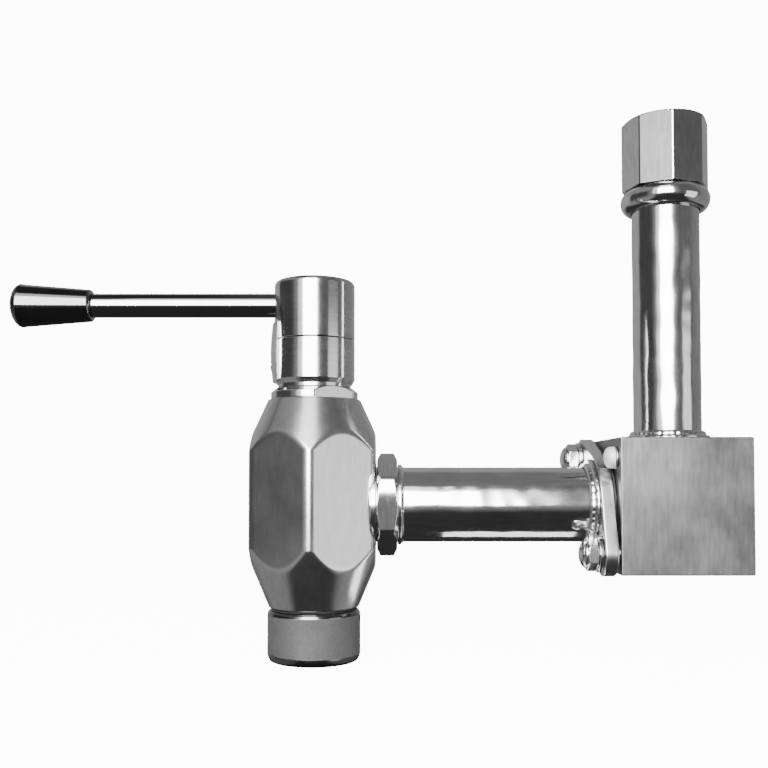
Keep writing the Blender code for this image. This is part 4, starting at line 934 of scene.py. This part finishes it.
def make_stage():
    """A pale round floor that curves up into the backdrop far away."""
    shape = bmesh.new()
    curve = arc((FLOOR_FLAT, FLOOR_CURVE), (FLOOR_CURVE, FLOOR_CURVE), -90, 0, 10)
    outline = [(FLOOR_MIDDLE, 0.0), *[point[:2] for point in curve], (curve[-1].radius, BACKDROP_TOP)]
    rings, sides = [], 96
    for radius, height in outline:
        rings.append([shape.verts.new((x, y, height - FLOOR_DROP)) for x, y in polygon(sides, radius)])
    centre = shape.verts.new((0, 0, -FLOOR_DROP))
    for side in range(sides):
        after = (side + 1) % sides
        shape.faces.new((centre, rings[0][side], rings[0][after]))
        for inner, outer in zip(rings, rings[1:]):
            shape.faces.new((inner[side], outer[side], outer[after], inner[after]))
    mesh = finished(shape)
    mesh.shade_smooth()
    floor = bpy.data.objects.new("studio_floor", mesh)
    bpy.context.scene.collection.objects.link(floor)
    finish = Finish("studio_paper")
    mottle = finish.noise((300, 300, 300), 2.0)
    finish.wire("Base Color", finish.mix(mottle, grey(0.86), grey(0.88)))
    finish.set(Roughness=0.9, Emission_Color=(1, 1, 1, 1), Emission_Strength=12.0)
    mesh.materials.append(finish.material)
    floor.visible_glossy = False
    floor.visible_shadow = False
    floor.visible_diffuse = False


def area_light(name, size, radiance):
    """A rectangular light of this width and height that the camera doesn't see."""
    lamp = bpy.data.lights.new(name, "AREA")
    lamp.shape = "RECTANGLE"
    lamp.size, lamp.size_y = size
    lamp.energy = radiance * math.pi * lamp.size * lamp.size_y
    light = bpy.data.objects.new(name, lamp)
    light.visible_camera = False
    bpy.context.scene.collection.objects.link(light)
    return light


def soft_box(name, azimuths, elevations, radiance, distance=1.5):
    """An upright area light. Azimuths are from the front and positive to the right, in degrees."""
    left, right = (math.radians(angle) for angle in azimuths)
    low, high = (distance * math.tan(math.radians(angle)) for angle in elevations)
    light = area_light(name, (2 * distance * math.tan((right - left) / 2), high - low), radiance)
    bearing = (left + right) / 2
    light.location = (distance * math.sin(bearing) + LIT_CENTRE[0], -distance * math.cos(bearing),
                      LIT_CENTRE[2] + (low + high) / 2)
    light.rotation_euler = (math.pi / 2, 0, bearing)


# The room's brightness by azimuth, in degrees from the front and positive to the right
ROOM = ((-180, 0.45), (-122, 0.50), (-110, 0.08), (-66, 0.07), (-48, 0.30), (14, 0.30), (24, 0.15),
        (38, 0.15), (72, 0.16), (90, 0.26), (120, 0.30), (180, 0.45))
ROOM_BELOW, ROOM_BELOW_SIDES = 0.045, 0.30
ROOM_ABOVE_LEFT, ROOM_ABOVE_RIGHT, ROOM_UPPER_LEFT = 0.05, 0.24, 0.32


def make_room():
    """A dim grey room for the metal to mirror. Each fade runs between two values of a direction's X or Z."""
    world = bpy.data.worlds.new("studio")
    world.use_nodes = True
    bpy.context.scene.world = world
    wiring = Wiring(world.node_tree)
    nodes, links = wiring.nodes, wiring.links

    def step_between(value, first, last):
        return wiring.spread(value, 0.0, 1.0, first, last, "SMOOTHSTEP")

    def blend(share, first, second):
        return wiring.mix(share, first, second, "FLOAT")

    split = nodes.new("ShaderNodeSeparateXYZ")
    links.new(nodes.new("ShaderNodeTexCoord").outputs["Generated"], split.inputs["Vector"])
    azimuth = wiring.math("ARCTAN2", split.outputs["X"], wiring.math("MULTIPLY", split.outputs["Y"], -1.0))
    turn = wiring.math("ADD", wiring.math("DIVIDE", azimuth, TURN), 0.5)
    ramp = nodes.new("ShaderNodeValToRGB")
    ramp.color_ramp.interpolation = "EASE"
    stops = ramp.color_ramp.elements
    while len(stops) < len(ROOM):
        stops.new(1.0)
    for stop, (angle, value) in zip(stops, ROOM):
        stop.position = angle / 360 + 0.5
        stop.color = (value, value, value, 1.0)
    links.new(turn, ramp.inputs["Fac"])
    height = split.outputs["Z"]
    sideways = step_between(wiring.math("ABSOLUTE", split.outputs["X"]), 0.52, 0.70)
    below = blend(sideways, ROOM_BELOW, ROOM_BELOW_SIDES)
    around = blend(step_between(height, -0.42, -0.05), below, ramp.outputs["Color"])
    upper = step_between(height, 0.30, 0.55)
    upper_left = wiring.math("MULTIPLY", upper, step_between(split.outputs["X"], -0.35, -0.60))
    around = blend(upper_left, around, ROOM_UPPER_LEFT)
    above = step_between(split.outputs["X"], -0.22, 0.02)
    above = blend(above, ROOM_ABOVE_LEFT, ROOM_ABOVE_RIGHT)
    around = blend(step_between(height, 0.80, 0.92), around, above)
    nodes["Background"].inputs["Color"].default_value = (1.0, 1.0, 1.0, 1.0)
    links.new(around, nodes["Background"].inputs["Strength"])


def make_lights():
    soft_box("key_core", (-30, 9), (-0.7, 42), 22.0)
    soft_box("key_high", (-30, 7), (42, 58), 3.0)
    soft_box("key_edge", (-44, 13), (-0.7, 50), 1.3)
    soft_box("side_strip", (42, 72), (-28, 12), 1.7)
    bounce = area_light("floor_bounce", BOUNCE_SIZE, 3.4)
    bounce.location = BOUNCE_PLACE
    bounce.rotation_euler = (math.pi, 0, 0)


def make_camera():
    camera = bpy.data.objects.new("camera", bpy.data.cameras.new("camera"))
    camera.data.lens = CAMERA_LENS
    camera.data.sensor_width = 36.0
    camera.data.shift_y = CAMERA_SHIFT
    camera.location = CAMERA_PLACE
    camera.rotation_euler = (math.radians(90 + CAMERA_PITCH), 0, 0)
    camera.data.clip_start, camera.data.clip_end = 0.01, 20.0
    bpy.context.scene.collection.objects.link(camera)
    bpy.context.scene.camera = camera


make_body()
make_socket()
make_bonnet()
make_strip()
make_hub()
make_lever()
make_outlet()
make_lock_nut()
make_flange()
make_bolt("upper")
make_bolt("lower")
make_block()
make_vent()
make_riser()
make_coupling()
finish_hidden_nodes()
make_stage()
make_room()
make_lights()
make_camera()
